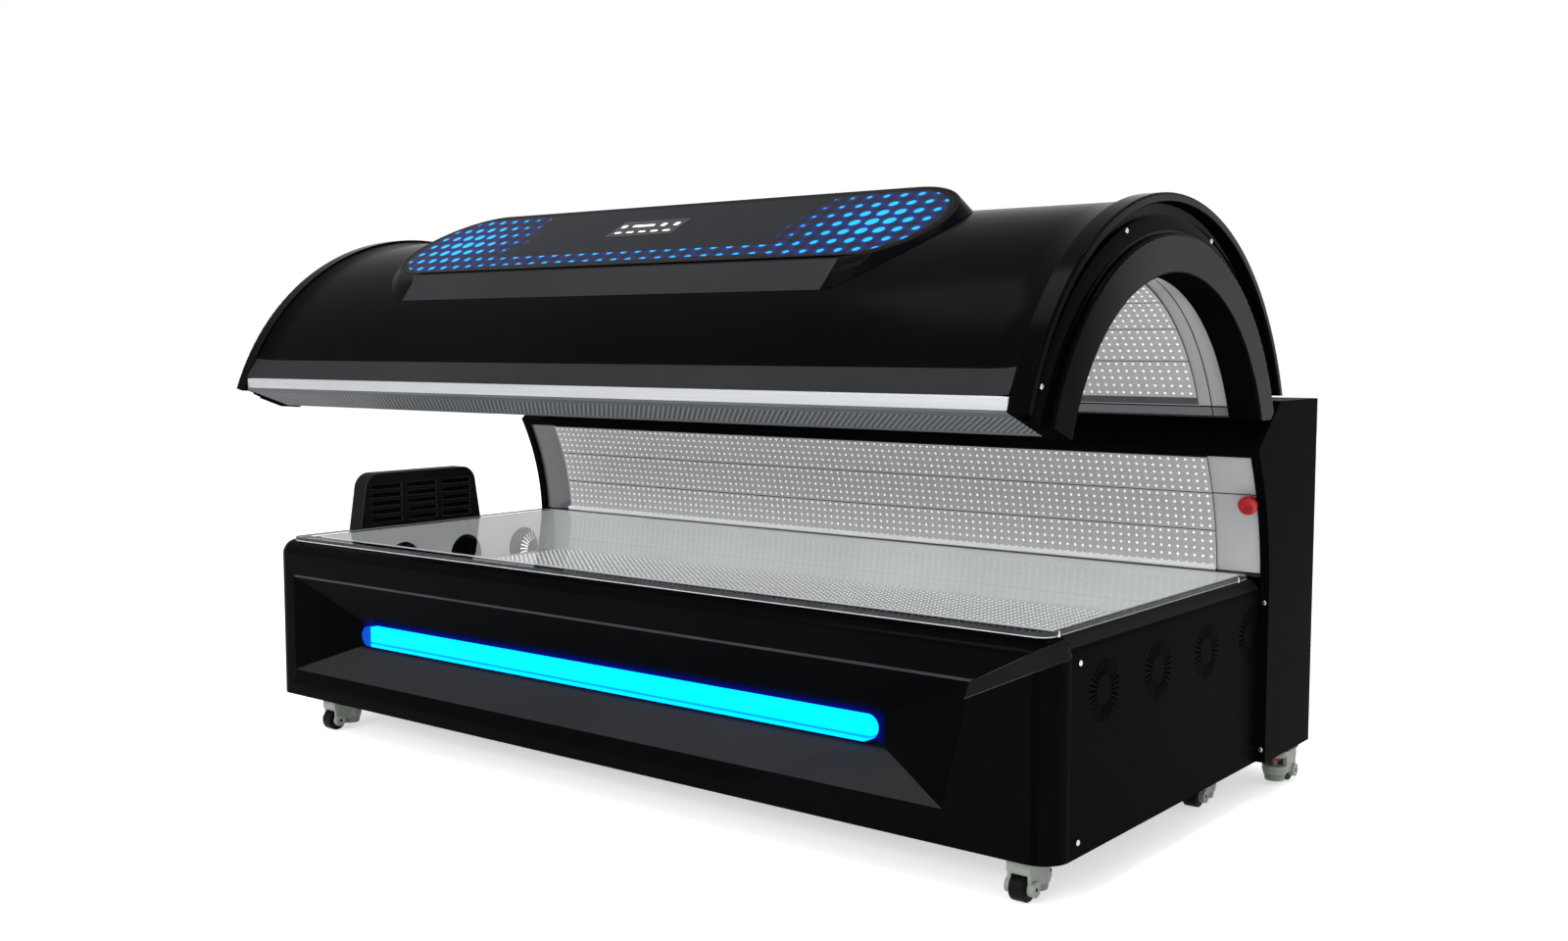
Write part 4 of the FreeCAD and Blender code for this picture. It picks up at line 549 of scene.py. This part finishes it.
def plate_smoked(name):
    """Smoked acrylic plate: dark and glossy in a black rim, with lit dots that grow towards its ends."""
    made, tree, bsdf = new_material(name, IOR=1.49, Specular_IOR_Level=0.008)
    place, smoke = surface(tree, bsdf, 300, "#15161a", "#1a1b20", (0.22, 0.3), 10, 0.03)
    flat = add(
        tree,
        "Mapping",
        {"Vector": place, "Location": POD_AT, "Rotation": (POD_TILT, 0.0, 0.0)},
        vector_type="TEXTURE",
    )
    axes = add(tree, "SeparateXYZ", {0: flat.outputs[0]})
    along = add(tree, "Math", {0: axes.outputs[0]}, operation="ABSOLUTE")
    straight = 599 * MM
    from_end = add(tree, "Math", {0: along.outputs[0], 1: straight}, operation="SUBTRACT")
    past_end = add(tree, "Math", {0: from_end.outputs[0], 1: 0.0}, operation="MAXIMUM")
    outline = add(tree, "CombineXYZ", {0: past_end.outputs[0], 1: axes.outputs[1]})
    off_middle = add(tree, "VectorMath", {0: outline.outputs[0]}, operation="LENGTH")
    rim = add(
        tree,
        "MapRange",
        {"Value": off_middle.outputs["Value"], "From Min": 142 * MM, "From Max": 144 * MM},
    )
    tone = add(tree, "Mix", {0: rim.outputs[0], 6: smoke, 7: linear("#0a0a0c")}, data_type="RGBA")
    tree.links.new(tone.outputs[2], bsdf.inputs["Base Color"])

    # Dots on a square grid: the largest radii at the ends and in the front row, and the halo, by its pitch
    pitch_mm, end_dot, row_dot, halo_width = 42, 0.36, 0.22, 0.36
    cells = add(
        tree,
        "TexVoronoi",
        {"Vector": flat.outputs[0], "Scale": 1000 / pitch_mm, "Randomness": 0.0},
        voronoi_dimensions="2D",
    )
    spot = add(tree, "CombineXYZ", {0: from_end.outputs[0], 1: axes.outputs[1]})
    reach = add(tree, "VectorMath", {0: spot.outputs[0]}, operation="LENGTH")
    fan = add(
        tree,
        "MapRange",
        {
            "Value": reach.outputs["Value"],
            "From Min": 20 * MM,
            "From Max": 260 * MM,
            "To Min": end_dot,
            "To Max": 0.0,
        },
    )
    row = add(tree, "Math", {0: axes.outputs[1], 1: -105 * MM, 2: 20 * MM}, operation="COMPARE")
    line = add(tree, "Math", {0: row.outputs[0], 1: row_dot}, operation="MULTIPLY")
    radius = add(tree, "Math", {0: fan.outputs[0], 1: line.outputs[0]}, operation="MAXIMUM")
    inside = add(tree, "Math", {0: radius.outputs[0], 1: cells.outputs["Distance"]}, operation="SUBTRACT")
    dot = add(tree, "MapRange", {"Value": inside.outputs[0], "From Min": -0.03, "From Max": 0.05})
    halo = add(
        tree,
        "MapRange",
        {"Value": inside.outputs[0], "From Min": -halo_width, "From Max": 0.0, "To Max": 0.3},
    )
    glow = add(
        tree, "Mix", {0: dot.outputs[0], 6: linear("#0048d8"), 7: linear(colours().glow)}, data_type="RGBA"
    )
    tree.links.new(glow.outputs[2], bsdf.inputs["Emission Color"])
    core = add(tree, "Math", {0: dot.outputs[0], 1: 1.9}, operation="MULTIPLY")
    both = add(tree, "Math", {0: core.outputs[0], 1: halo.outputs[0]}, operation="MAXIMUM")
    lit = add(tree, "Math", {0: radius.outputs[0], 1: 0.06}, operation="GREATER_THAN")
    bare = add(tree, "Math", {0: 1.0, 1: rim.outputs[0]}, operation="SUBTRACT")
    shown = add(tree, "Math", {0: lit.outputs[0], 1: bare.outputs[0]}, operation="MULTIPLY")
    strength = add(tree, "Math", {0: both.outputs[0], 1: shown.outputs[0]}, operation="MULTIPLY")
    tree.links.new(strength.outputs[0], bsdf.inputs["Emission Strength"])
    return made


def display_glass(name):
    """Display window: black glass with a slight grey backlight."""
    return one_surface(
        name, 60, "#07080a", "#0d0e12", (0.08, 0.14), 20, 0.01, IOR=1.52, Specular_IOR_Level=0.04
    )


def mark_lit(name):
    """Lit mark behind the display glass: cool white."""
    return one_surface(
        name, 4, "#dfe6ee", "#f4f8fc", (0.3, 0.4), 2, 0.01,
        Emission_Strength=0.9,
        Emission_Color=linear("#e8f0f8"),
    )


def stop_red(name):
    """Emergency stop: moulded red ABS with a soft gloss."""
    return one_surface(name, 14, "#b00d15", colours().stop, (0.24, 0.34), 3, 0.05, IOR=1.5)


def nylon_grey(name):
    """Moulded glass filled nylon of the casters: warm grey white with a faint flow mottle."""
    return one_surface(
        name, 30, "#878d85", colours().caster, (0.4, 0.52), 2, 0.1, IOR=1.53, Specular_IOR_Level=0.4
    )


def wheel_black(name):
    """Polyurethane wheel: black and satin."""
    return one_surface(
        name, 12, "#08080a", "#101113", (0.42, 0.55), 1.5, 0.1, IOR=1.5, Specular_IOR_Level=0.06
    )


def foot_nylon(name):
    """Levelling foot: the casters' grey nylon, with a red dial at the height of the fork's window."""
    made, tree, bsdf = new_material(name, IOR=1.53, Specular_IOR_Level=0.3)
    place, grey = surface(tree, bsdf, 30, "#7f857d", "#8d938b", (0.42, 0.54), 2, 0.1)
    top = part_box("caster_foot_front_left")[1].z
    axes = add(tree, "SeparateXYZ", {0: place})
    dial = add(tree, "Math", {0: axes.outputs[2], 1: top - 7 * MM}, operation="GREATER_THAN")
    tone = add(tree, "Mix", {0: dial.outputs[0], 6: grey, 7: linear("#a80f17")}, data_type="RGBA")
    tree.links.new(tone.outputs[2], bsdf.inputs["Base Color"])
    return made


def steel_bright(name):
    """Polished stainless screws, pins and rods: bright with fine rub marks."""
    return one_surface(name, 5, "#b9bbbe", "#d9dadc", (0.16, 0.28), 1, 0.03, Metallic=1.0)


def tube_painted(name):
    """Painted steel of the pan, the inner frames and the hinge: dark grey and even."""
    return one_surface(
        name, 150, "#1a1b1d", "#26272a", (0.45, 0.58), 2, 0.1, IOR=1.5, Specular_IOR_Level=0.35
    )


def tray_white(name):
    """Bent white enamelled tray under the bed sheet: pale and smooth."""
    return one_surface(
        name, 300, "#dcddde", "#e8e9ea", (0.25, 0.34), 6, 0.04, IOR=1.5, Specular_IOR_Level=0.4
    )


def aluminium_cast(name):
    """Cast aluminium of the drives and drivers: dull grey with a fine grain."""
    return one_surface(name, 25, "#84878b", "#9a9da1", (0.4, 0.55), 1.5, 0.15, Metallic=1.0)


def fan_black(name):
    """Moulded PBT fan frame and blades: black and satin."""
    return one_surface(name, 40, "#0c0d0e", "#161719", (0.4, 0.5), 2, 0.08, IOR=1.55, Specular_IOR_Level=0.3)


def dress(obj, *makers):
    """Puts finishes into an object's material slots."""
    for make in makers:
        obj.data.materials.append(finish(make.__name__, make))


def dress_node(node, make):
    """Gives every material slot of a CAD node one finish."""
    made = finish(make.__name__, make)
    for slot in NODES[node].material_slots:
        slot.material = made


def body_of(node):
    """The body that a CAD node rides on."""
    return NODES[node]["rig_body"]


def middle_x():
    """Where the canopy's middle lies along the bed."""
    low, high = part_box("canopy_shell")
    return (low.x + high.x) / 2


def wall_angle(z):
    """Angle at a height on the wall's curve."""
    return math.asin((z - WALL_AXIS.z) / WALL_RADIUS)


def from_axis(at, axis):
    """Direction to a point from an axis along x."""
    return (Vector((0, at.y, at.z)) - axis).normalized()


def whole(bm):
    """All elements of a bmesh, as its operators take them."""
    return bm.verts[:] + bm.edges[:] + bm.faces[:]


def repeat(bm, steps, cent=(0, 0, 0), angle=0.0, dvec=(0, 0, 0)):
    """Copies all of a bmesh in steps, along a vector or round an axis along x."""
    bmesh.ops.spin(
        bm,
        geom=whole(bm),
        cent=cent,
        axis=(1, 0, 0),
        dvec=dvec,
        angle=angle,
        steps=steps,
        use_duplicate=True,
    )


def round_edges(bm, edges, width, segments, clamp=False):
    """Rounds edges of a bmesh and returns the new faces."""
    return bmesh.ops.bevel(
        bm,
        geom=edges,
        offset=width,
        segments=segments,
        profile=0.5,
        affect="EDGES",
        material=-1,
        clamp_overlap=clamp,
    )["faces"]


def smooth(mesh):
    """Shades a mesh smoothly but for its sharp edges."""
    mesh.polygons.foreach_set("use_smooth", [True] * len(mesh.polygons))
    mesh.set_sharp_from_angle(angle=SHARP_TURN)


def new_piece(name, bm, body, *makers):
    """Turns a bmesh into a finished piece that rides on a body."""
    mesh = bpy.data.meshes.new(name)
    bm.to_mesh(mesh)
    bm.free()
    piece = bpy.data.objects.new(name, mesh)
    bpy.context.scene.collection.objects.link(piece)
    dress(piece, *makers)
    smooth(mesh)
    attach(piece, body)
    return piece


def soft_copy(
    node,
    make,
    width=0.0,
    pick=None,
    segments=2,
    extra=(),
    choose=None,
    shape=None,
    rim=None,
    clamp=True,
    turn=28,
):
    """A merged copy of a node that stands for it.

    Its picked edges that turn by more than some degrees are rounded and may get a finish of their own, rim.
    The function shape works on the bmesh, and choose gives a face its place among the finishes.
    """
    bm = bmesh.new()
    bm.from_mesh(NODES[node].data)
    bmesh.ops.remove_doubles(bm, verts=bm.verts, dist=MERGE_DISTANCE)
    bmesh.ops.dissolve_limit(bm, angle_limit=FLAT_TURN, verts=bm.verts, edges=bm.edges)
    for face in bm.faces:
        face.material_index = 0
    makers = [make, *extra]
    if width:
        sharp = [
            edge
            for edge in bm.edges
            if edge.is_manifold
            and edge.calc_face_angle(0) > math.radians(turn)
            and (pick is None or pick((edge.verts[0].co + edge.verts[1].co) / 2))
        ]
        rounded = round_edges(bm, sharp, width, segments, clamp)
        for face in rounded if rim else ():
            face.material_index = len(makers)
    if shape:
        shape(bm)
    for face in bm.faces:
        if choose and face.material_index == 0:
            face.material_index = choose(face)
    if rim:
        makers.append(rim)
    piece = new_piece(f"{node}_cover", bm, body_of(node), *makers)
    weigh = piece.modifiers.new("even_shading", "WEIGHTED_NORMAL")
    weigh.keep_sharp = True
    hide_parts(node)
    return piece


def lens_row(bm, at, facing, count):
    """One row of low domes along x, facing a direction, starting at a point."""
    radius = sizes().lens_radius
    bmesh.ops.create_uvsphere(bm, u_segments=6, v_segments=4, radius=radius)
    bmesh.ops.bisect_plane(
        bm,
        geom=whole(bm),
        dist=LENS_CUT_DISTANCE,
        plane_co=(0, 0, -radius * DOME_FOOT),
        plane_no=(0, 0, -1),
        clear_outer=True,
    )
    bmesh.ops.scale(bm, vec=(1, 1, DOME_HEIGHT), verts=bm.verts)
    turn = UP.rotation_difference(facing).to_matrix()
    bmesh.ops.rotate(bm, cent=(0, 0, 0), matrix=turn, verts=bm.verts)
    bmesh.ops.translate(bm, vec=at, verts=bm.verts)
    repeat(bm, count - 1, dvec=(sizes().lens_pitch, 0, 0))


def columns(low, high):
    """First x and count of the lens columns that fit between two ends, with a little space left at both."""
    pitch = sizes().lens_pitch
    spare = pitch * 0.6
    count = int((high - low - spare) / pitch) + 1
    return (low + high) / 2 - pitch * (count - 1) / 2, count


def lens_arc(name, node, axis, radius, first, last, rows):
    """Lens rows on the inner side of curved lamp boards, from one angle to another."""
    low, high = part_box(node)
    start_x, count = columns(low.x, high.x)
    step = (last - first) / rows
    angle = first + step / 2
    out = Vector((0, math.cos(angle), math.sin(angle)))
    bm = bmesh.new()
    lens_row(bm, Vector((start_x, axis.y, axis.z)) + out * radius, -out, count)
    repeat(bm, rows - 1, cent=axis, angle=step * (rows - 1))
    piece = new_piece(name, bm, body_of(node), lens_silicone)


def board_faces(inward):
    """Face chooser: printed faces get slot 0 and sawn edges slot 1."""

    def choose(face):
        return 0 if abs(face.normal.dot(inward(face.calc_center_median()))) > 0.7 else 1

    return choose


def on_recess_rim(mid):
    """Whether an edge's middle lies on the top rim of the fascia's recess."""
    return mid.y < FRONT_Y + 0.01 * MM and mid.x < RIM_END_X and abs(mid.z - RECESS_TOP) < 1 * MM


def on_fascia_lip(face):
    """Whether a face lies on the lip that runs from the recess's right corner to the fascia's top corner."""
    at = face.calc_center_median()
    (high, across), (low, up) = LIP_SIDES
    between = (at - high).dot(across) < 0 < (at - low).dot(up)
    return between and at.z > RECESS_TOP - LIP_DROP and at.x > LIP_FOOT_X and face.normal.y < -0.1


def raise_fascia_lip(bm):
    """Cuts the lip's two long sides into the fascia and raises the band between them; the band and its slopes
    get paler finishes as painted highlights.
    """
    for point, across in LIP_SIDES:
        bmesh.ops.bisect_plane(bm, geom=whole(bm), dist=CUT_DISTANCE, plane_co=point, plane_no=across)
    bm.normal_update()
    lip = [face for face in bm.faces if on_fascia_lip(face)]
    # Painted highlight: the lip's band gets the paler black
    for face in lip:
        face.material_index = CORNER
    slopes = bmesh.ops.inset_region(
        bm, faces=lip, thickness=LIP_SLOPE, depth=LIP_RISE, use_boundary=True, use_even_offset=True
    )["faces"]
    # Painted highlight lines on the lip's slopes
    for face in slopes:
        face.material_index = EDGE


def fascia_slot(face):
    """Finish of a fascia face: the left corner with a painted highlight, the recess's lower facet with a
    painted sheen, its other sides, or the front.
    """
    at = face.calc_center_median()
    # Painted highlight on the rounded left corner
    if -0.9 < face.normal.x < -0.08 and at.x < CORNER_X:
        return CORNER
    in_recess = RECESS_BOTTOM < at.z < RECESS_TOP + 5 * MM and abs(at.x) <= RECESS_REACH
    if at.y < FRONT_Y + 1 * MM or not in_recess:
        return 0
    return RECESS_SATIN if face.normal.z > 0.4 and face.normal.y < -0.4 else RECESS_BLACK


def end_slot(face):
    """Finish of an end arch's face: 1 for the flat outer face, with a painted sheen and shade, 2 for
    undersides, 0 elsewhere.
    """
    if face.normal.z < -0.5:
        return 2
    return int(abs(face.normal.x) > 0.97 and abs(face.calc_center_median().x) > END_FACE_X)


def end_panel_slot(face):
    """Finish of an end panel's face: 1 for its round top, which carries a painted highlight, 0 elsewhere."""
    return int(0.35 < face.normal.z < 0.92)


def shell_slot(face):
    """Finish of the canopy skin's face: 1 for the band at its lower front, with a painted sheen, 0 elsewhere.
    """
    at = face.calc_center_median()
    return int(at.z < BAND_TOP and at.y < ARCH.y)


def pod_slot(face):
    """Finish of the pod housing's face: 1 for the facet along its front, with a painted sheen, 0 elsewhere.
    """
    return int(abs(face.normal.x) < 0.02 and -0.9 < face.normal.y < -0.7)


def flare_ends(bm):
    """Sweeps the canopy skin out in a hollow curve where it meets the end arches."""
    start = FLARE_CUTS[0]
    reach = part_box("canopy_shell")[1].x - middle_x()
    for side in (-1, 1):
        for cut in FLARE_CUTS:
            at = (middle_x() + side * cut, 0, 0)
            bmesh.ops.bisect_plane(
                bm, geom=whole(bm), dist=CUT_DISTANCE, plane_co=at, plane_no=(side, 0, 0)
            )
    for vert in bm.verts:
        out = abs(vert.co.x - middle_x()) - start
        if out > 0:
            vert.co += from_axis(vert.co, ARCH) * FLARE_RISE * (out / (reach - start)) ** 2


class BED_OT_covers(bpy.types.Operator):
    """Rounds and finishes the moulded covers and the bent panels"""

    bl_idname = "bed.covers"
    bl_label = "Covers and panels"

    def execute(self, context):
        size = sizes()
        # Paler finishes paint highlights on rounded edges, the lip, the corner and the round tops, and
        # painted sheen on the satin facets
        soft_copy(
            "front_fascia",
            abs_gloss_black,
            size.recess_edge,
            pick=on_recess_rim,
            segments=3,
            extra=(recess_sheen_and_shadow, recess_black, hood_black_and_highlight),
            choose=fascia_slot,
            shape=raise_fascia_lip,
            rim=abs_edge_highlight,
            clamp=False,
            turn=12,
        )
        for side in SIDES:
            soft_copy(f"end_panel_{side}", powder_black, extra=(hood_black_and_highlight,), choose=end_panel_slot)
            soft_copy(f"rear_side_{side}", powder_black, size.panel_edge)
            soft_copy(
                f"canopy_end_{side}",
                abs_gloss_black,
                size.panel_edge,
                extra=(abs_sheen_and_shade, abs_matt_black),
                choose=end_slot,
                rim=abs_edge_highlight,
            )
        soft_copy("rear_deck", powder_black, size.panel_edge)
        soft_copy("rear_back_panel", powder_black)
        soft_copy("air_hood", hood_black_and_highlight, size.cover_edge, rim=abs_edge_highlight)
        soft_copy(
            "canopy_shell", abs_shell_black, extra=(abs_painted_sheen,), choose=shell_slot, shape=flare_ends
        )
        soft_copy(
            "pod_housing", abs_shell_black, size.cover_edge, extra=(abs_painted_sheen,), choose=pod_slot
        )
        return {"FINISHED"}


class BED_OT_sheet(bpy.types.Operator):
    """Finishes the clear bed sheet and the tray, and adds the sheet's pins and the bead at the wall's foot"""

    bl_idname = "bed.sheet"
    bl_label = "Bed sheet and tray"

    def execute(self, context):
        low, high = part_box("bed_sheet")
        clear = soft_copy(
            "bed_sheet",
            acrylic_clear,
            2.6 * MM,
            pick=lambda mid: mid.z < low.z + 1 * MM,
            extra=(acrylic_edge,),
            choose=lambda face: int(abs(face.normal.z) < 0.6),
            # Painted highlight lines on the sheet's rounded corners
            rim=acrylic_highlight_line,
        )
        clear.visible_shadow = False
        clear.visible_diffuse = False
        soft_copy("bed_tray", tray_white)

        pin_radius, pin_length = 2.2 * MM, 11 * MM
        bm = bmesh.new()
        for x in (low.x, high.x):
            for y in (low.y + 36 * MM, low.y + 800 * MM):
                pin = bmesh.ops.create_cone(
                    bm, cap_ends=True, segments=12, radius1=pin_radius, radius2=pin_radius, depth=pin_length
                )
                bmesh.ops.translate(bm, vec=(x, y, (low.z + high.z) / 2), verts=pin["verts"])
        rims = [edge for edge in bm.edges if edge.calc_face_angle(0) > 1.0]
        round_edges(bm, rims, 0.6 * MM, 2)
        pins = new_piece("sheet_pins", bm, body_of("bed_sheet"), steel_bright)

        foot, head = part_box("wall_lamp_boards")
        round_over = 6 * MM
        reach = math.sqrt(WALL_RADIUS**2 - (high.z + round_over - WALL_AXIS.z) ** 2)
        bm = bmesh.new()
        bmesh.ops.create_circle(bm, cap_ends=True, segments=14, radius=round_over)
        bmesh.ops.rotate(bm, matrix=Matrix.Rotation(math.pi / 2, 3, "Y"), verts=bm.verts)
        seat = Vector((foot.x, WALL_AXIS.y + reach - round_over, high.z + round_over))
        bmesh.ops.translate(bm, vec=seat, verts=bm.verts)
        run = bmesh.ops.extrude_face_region(bm, geom=bm.faces[:], use_keep_orig=True)["geom"]
        moved = [item for item in run if isinstance(item, bmesh.types.BMVert)]
        bmesh.ops.translate(bm, vec=(head.x - foot.x, 0, 0), verts=moved)
        bmesh.ops.recalc_face_normals(bm, faces=bm.faces)
        bead = new_piece("wall_foot_bead", bm, body_of("wall_liner"), bead_white)
        return {"FINISHED"}


class BED_OT_lamps(bpy.types.Operator):
    """Finishes the lamp boards and sets a lens on every lamp"""

    bl_idname = "bed.lamps"
    bl_label = "Lamp boards and lenses"

    def execute(self, context):
        size = sizes()
        for node, inward in (
            ("bed_lamp_boards", lambda at: UP),
            ("wall_lamp_boards", lambda at: from_axis(at, WALL_AXIS)),
            ("canopy_lamp_boards", lambda at: from_axis(at, ARCH)),
        ):
            soft_copy(node, board_white, extra=(board_edge,), choose=board_faces(inward))

        foot_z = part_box("canopy_lamp_boards")[0].z
        first = math.asin((foot_z - ARCH.z) / CANOPY_LAMP_RADIUS)
        last = math.pi - first
        rows = CANOPY_BOARDS * size.rows_per_board
        lens_arc("canopy_lenses", "canopy_lamp_boards", ARCH, CANOPY_LAMP_RADIUS, first, last, rows)

        low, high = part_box("wall_lamp_boards")
        first, last = wall_angle(low.z), wall_angle(high.z)
        rows = WALL_BOARDS * size.rows_per_board
        lens_arc("wall_lenses", "wall_lamp_boards", WALL_AXIS, WALL_RADIUS, first, last, rows)

        low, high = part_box("bed_lamp_boards")
        start_x, count = columns(low.x, high.x)
        step = (high.y - low.y) / size.bed_lens_rows
        bm = bmesh.new()
        lens_row(bm, Vector((start_x, low.y + step / 2, high.z)), UP, count)
        repeat(bm, size.bed_lens_rows - 1, dvec=(0, step, 0))
        piece = new_piece("bed_lenses", bm, body_of("bed_lamp_boards"), lens_silicone)
        return {"FINISHED"}


class BED_OT_liners(bpy.types.Operator):
    """Finishes the white liners, the bright trim and the lamp cover"""

    bl_idname = "bed.liners"
    bl_label = "Liners and trim"

    def execute(self, context):
        soft_copy("wall_liner", wall_sheet)
        soft_copy("canopy_liner", canopy_sheet)
        soft_copy("canopy_front_trim", aluminium_satin, 3 * MM, segments=3)
        soft_copy("canopy_light_cover", cover_prismatic, 1 * MM)
        return {"FINISHED"}


class BED_OT_lights(bpy.types.Operator):
    """Finishes the fascia's light bar"""

    bl_idname = "bed.lights"
    bl_label = "Light bar"

    def execute(self, context):
        low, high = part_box("fascia_light_bar")
        soft_copy(
            "fascia_light_bar",
            bar_lit,
            14 * MM,
            pick=lambda mid: (mid.x < low.x + MM or mid.x > high.x - MM) and low.y + MM < mid.y < high.y - MM,
            segments=4,
        )
        return {"FINISHED"}


class BED_OT_pod(bpy.types.Operator):
    """Finishes the pod's plate and display and adds the display's marks"""

    bl_idname = "bed.pod"
    bl_label = "Control pod"

    def execute(self, context):
        soft_copy("pod_plate", plate_smoked, 1 * MM)
        soft_copy("pod_display", display_glass, 0.6 * MM)
        bm = bmesh.new()
        # Place across and up, length and height of each mark, in mm on the display
        marks = [(-20, 12, 64, 10), (-78, 12, 14, 14), (40, 12, 14, 14), (78, 12, 14, 14)]
        marks += [(x, -20, 20, 7) for x in (-72, -36, 0, 36, 72)]
        display_x, display_v, lift, thick = -36, 40, 0.1 * MM, 0.3 * MM
        for x, v, length, height in marks:
            made = bmesh.ops.create_cube(bm, size=1.0)
            at = Matrix.Translation(((x + display_x) * MM, (v + display_v) * MM, lift))
            shape = Matrix.Diagonal((length * MM, height * MM, thick, 1.0))
            bmesh.ops.transform(bm, matrix=POD @ at @ shape, verts=made["verts"])
        corners = [edge for edge in bm.edges if edge.calc_length() < thick + 0.1 * MM]
        round_edges(bm, corners, 2.4 * MM, 3)
        piece = new_piece("display_marks", bm, "canopy", mark_lit)
        return {"FINISHED"}


class BED_OT_stop(bpy.types.Operator):
    """Finishes the emergency stop"""

    bl_idname = "bed.stop"
    bl_label = "Emergency stop"

    def execute(self, context):
        soft_copy("stop_button", stop_red, 0.8 * MM)
        soft_copy("stop_collar", stop_red, 0.6 * MM)
        return {"FINISHED"}


class BED_OT_casters(bpy.types.Operator):
    """Finishes the six levelling casters"""

    bl_idname = "bed.casters"
    bl_label = "Casters"

    def execute(self, context):
        for name in CASTERS:
            soft_copy(f"caster_fork_{name}", nylon_grey, 1.4 * MM)
            soft_copy(f"caster_wheel_{name}", wheel_black, 0.8 * MM)
            soft_copy(f"caster_foot_{name}", foot_nylon, 0.8 * MM)
        return {"FINISHED"}


class BED_OT_fittings(bpy.types.Operator):
    """Finishes the screws, hinge, lift, fans, frame and drivers"""

    bl_idname = "bed.fittings"
    bl_label = "Fittings inside and out"

    def execute(self, context):
        for node in ("end_panel_screws", "canopy_end_screws"):
            soft_copy(node, steel_bright, 0.8 * MM)
        dress_node("lift_rods", steel_bright)
        for node in ("base_pan", "base_frame", "canopy_frame", "hinge_blocks", "canopy_hinge_arms"):
            dress_node(node, tube_painted)
        for node in ("lift_motors", "lamp_drivers"):
            dress_node(node, aluminium_cast)
        dress_node("fan_frames", fan_black)
        for index in range(1, 5):
            dress_node(f"fan_rotor_{index}", fan_black)
        return {"FINISHED"}


def seen_directly(tree):
    """Socket that is 1 for what is seen, straight, mirrored or through glass, and 0 for light that falls."""
    path = add(tree, "LightPath").outputs
    shown = path["Is Camera Ray"]
    for ray in ("Is Glossy Ray", "Is Transmission Ray"):
        shown = add(tree, "Math", {0: shown, 1: path[ray]}, operation="MAXIMUM").outputs[0]
    return shown


def floor_paper(name):
    """Pale seamless paper: nearly white, with the object's soft shadow on it."""
    made, tree, bsdf = new_material(name, Specular_IOR_Level=0.1)
    surface(tree, bsdf, 2000, "#f2f2f2", "#f6f6f6", (0.9, 0.95), 30, 0.02)
    glow = add(tree, "Math", {0: seen_directly(tree), 1: 0.55}, operation="MULTIPLY")
    bsdf.inputs["Emission Color"].default_value = (1.0, 1.0, 1.0, 1.0)
    tree.links.new(glow.outputs[0], bsdf.inputs["Emission Strength"])
    return made


class BED_OT_stage(bpy.types.Operator):
    """Sets the floor, the white surroundings, the softboxes and the camera"""

    bl_idname = "bed.stage"
    bl_label = "Stage and camera"

    def execute(self, context):
        scene = context.scene
        bm = bmesh.new()
        bmesh.ops.create_grid(bm, x_segments=8, y_segments=8, size=FLOOR_HALF)
        mesh = bpy.data.meshes.new("studio_floor")
        bm.to_mesh(mesh)
        bm.free()
        floor = bpy.data.objects.new("studio_floor", mesh)
        scene.collection.objects.link(floor)
        dress(floor, floor_paper)

        world = bpy.data.worlds.new("studio_white")
        scene.world = world
        world.use_nodes = True
        tree = world.node_tree
        strength = add(tree, "MapRange", {"Value": seen_directly(tree), "To Min": 0.85, "To Max": 1.0})
        background = tree.nodes["Background"]
        background.inputs["Color"].default_value = (1.0, 1.0, 1.0, 1.0)
        tree.links.new(strength.outputs[0], background.inputs["Strength"])

        for name, at, target, width, height, power in SOFTBOXES:
            data = bpy.data.lights.new(name, "AREA")
            data.shape = "RECTANGLE"
            data.size = width
            data.size_y = height
            data.energy = power
            lamp = bpy.data.objects.new(name, data)
            lamp.location = at
            lamp.rotation_euler = (Vector(target) - Vector(at)).to_track_quat("-Z", "Y").to_euler()
            scene.collection.objects.link(lamp)

        data = bpy.data.cameras.new("photo_camera")
        data.lens = CAMERA_LENS
        data.sensor_width = CAMERA_SENSOR
        data.sensor_fit = "HORIZONTAL"
        data.clip_end = 100.0
        camera = bpy.data.objects.new("photo_camera", data)
        forward = CAMERA_FORWARD.normalized()
        right = CAMERA_RIGHT.normalized()
        up = right.cross(forward)
        turn = Matrix((right, up, -forward)).transposed().to_4x4()
        camera.matrix_world = Matrix.Translation(CAMERA_AT) @ turn
        scene.collection.objects.link(camera)
        scene.camera = camera
        scene.view_settings.view_transform = "Standard"
        return {"FINISHED"}


OPERATORS = (
    BED_OT_covers,
    BED_OT_sheet,
    BED_OT_lamps,
    BED_OT_liners,
    BED_OT_lights,
    BED_OT_pod,
    BED_OT_stop,
    BED_OT_casters,
    BED_OT_fittings,
    BED_OT_stage,
)


class BED_PT_looks(bpy.types.Panel):
    """Lists the steps that dress the bed"""

    bl_idname = "BED_PT_looks"
    bl_label = "Light Bed"
    bl_space_type = "VIEW_3D"
    bl_region_type = "UI"
    bl_category = "Light Bed"

    def draw(self, context):
        for group in (context.scene.bed_sizes, context.scene.bed_colours):
            for name in group.__annotations__:
                self.layout.prop(group, name)
        for operator in OPERATORS:
            self.layout.operator(operator.bl_idname)


CLASSES = (BedSizes, BedColours, *OPERATORS, BED_PT_looks)


def register():
    for cls in CLASSES:
        bpy.utils.register_class(cls)
    bpy.types.Scene.bed_sizes = bpy.props.PointerProperty(type=BedSizes)
    bpy.types.Scene.bed_colours = bpy.props.PointerProperty(type=BedColours)


def unregister():
    del bpy.types.Scene.bed_colours
    del bpy.types.Scene.bed_sizes
    for cls in reversed(CLASSES):
        bpy.utils.unregister_class(cls)


def main():
    """Dresses the bed step by step."""
    register()
    for operator in OPERATORS:
        group, name = operator.bl_idname.split(".")
        getattr(getattr(bpy.ops, group), name)()


if __name__ == "__main__":
    main()
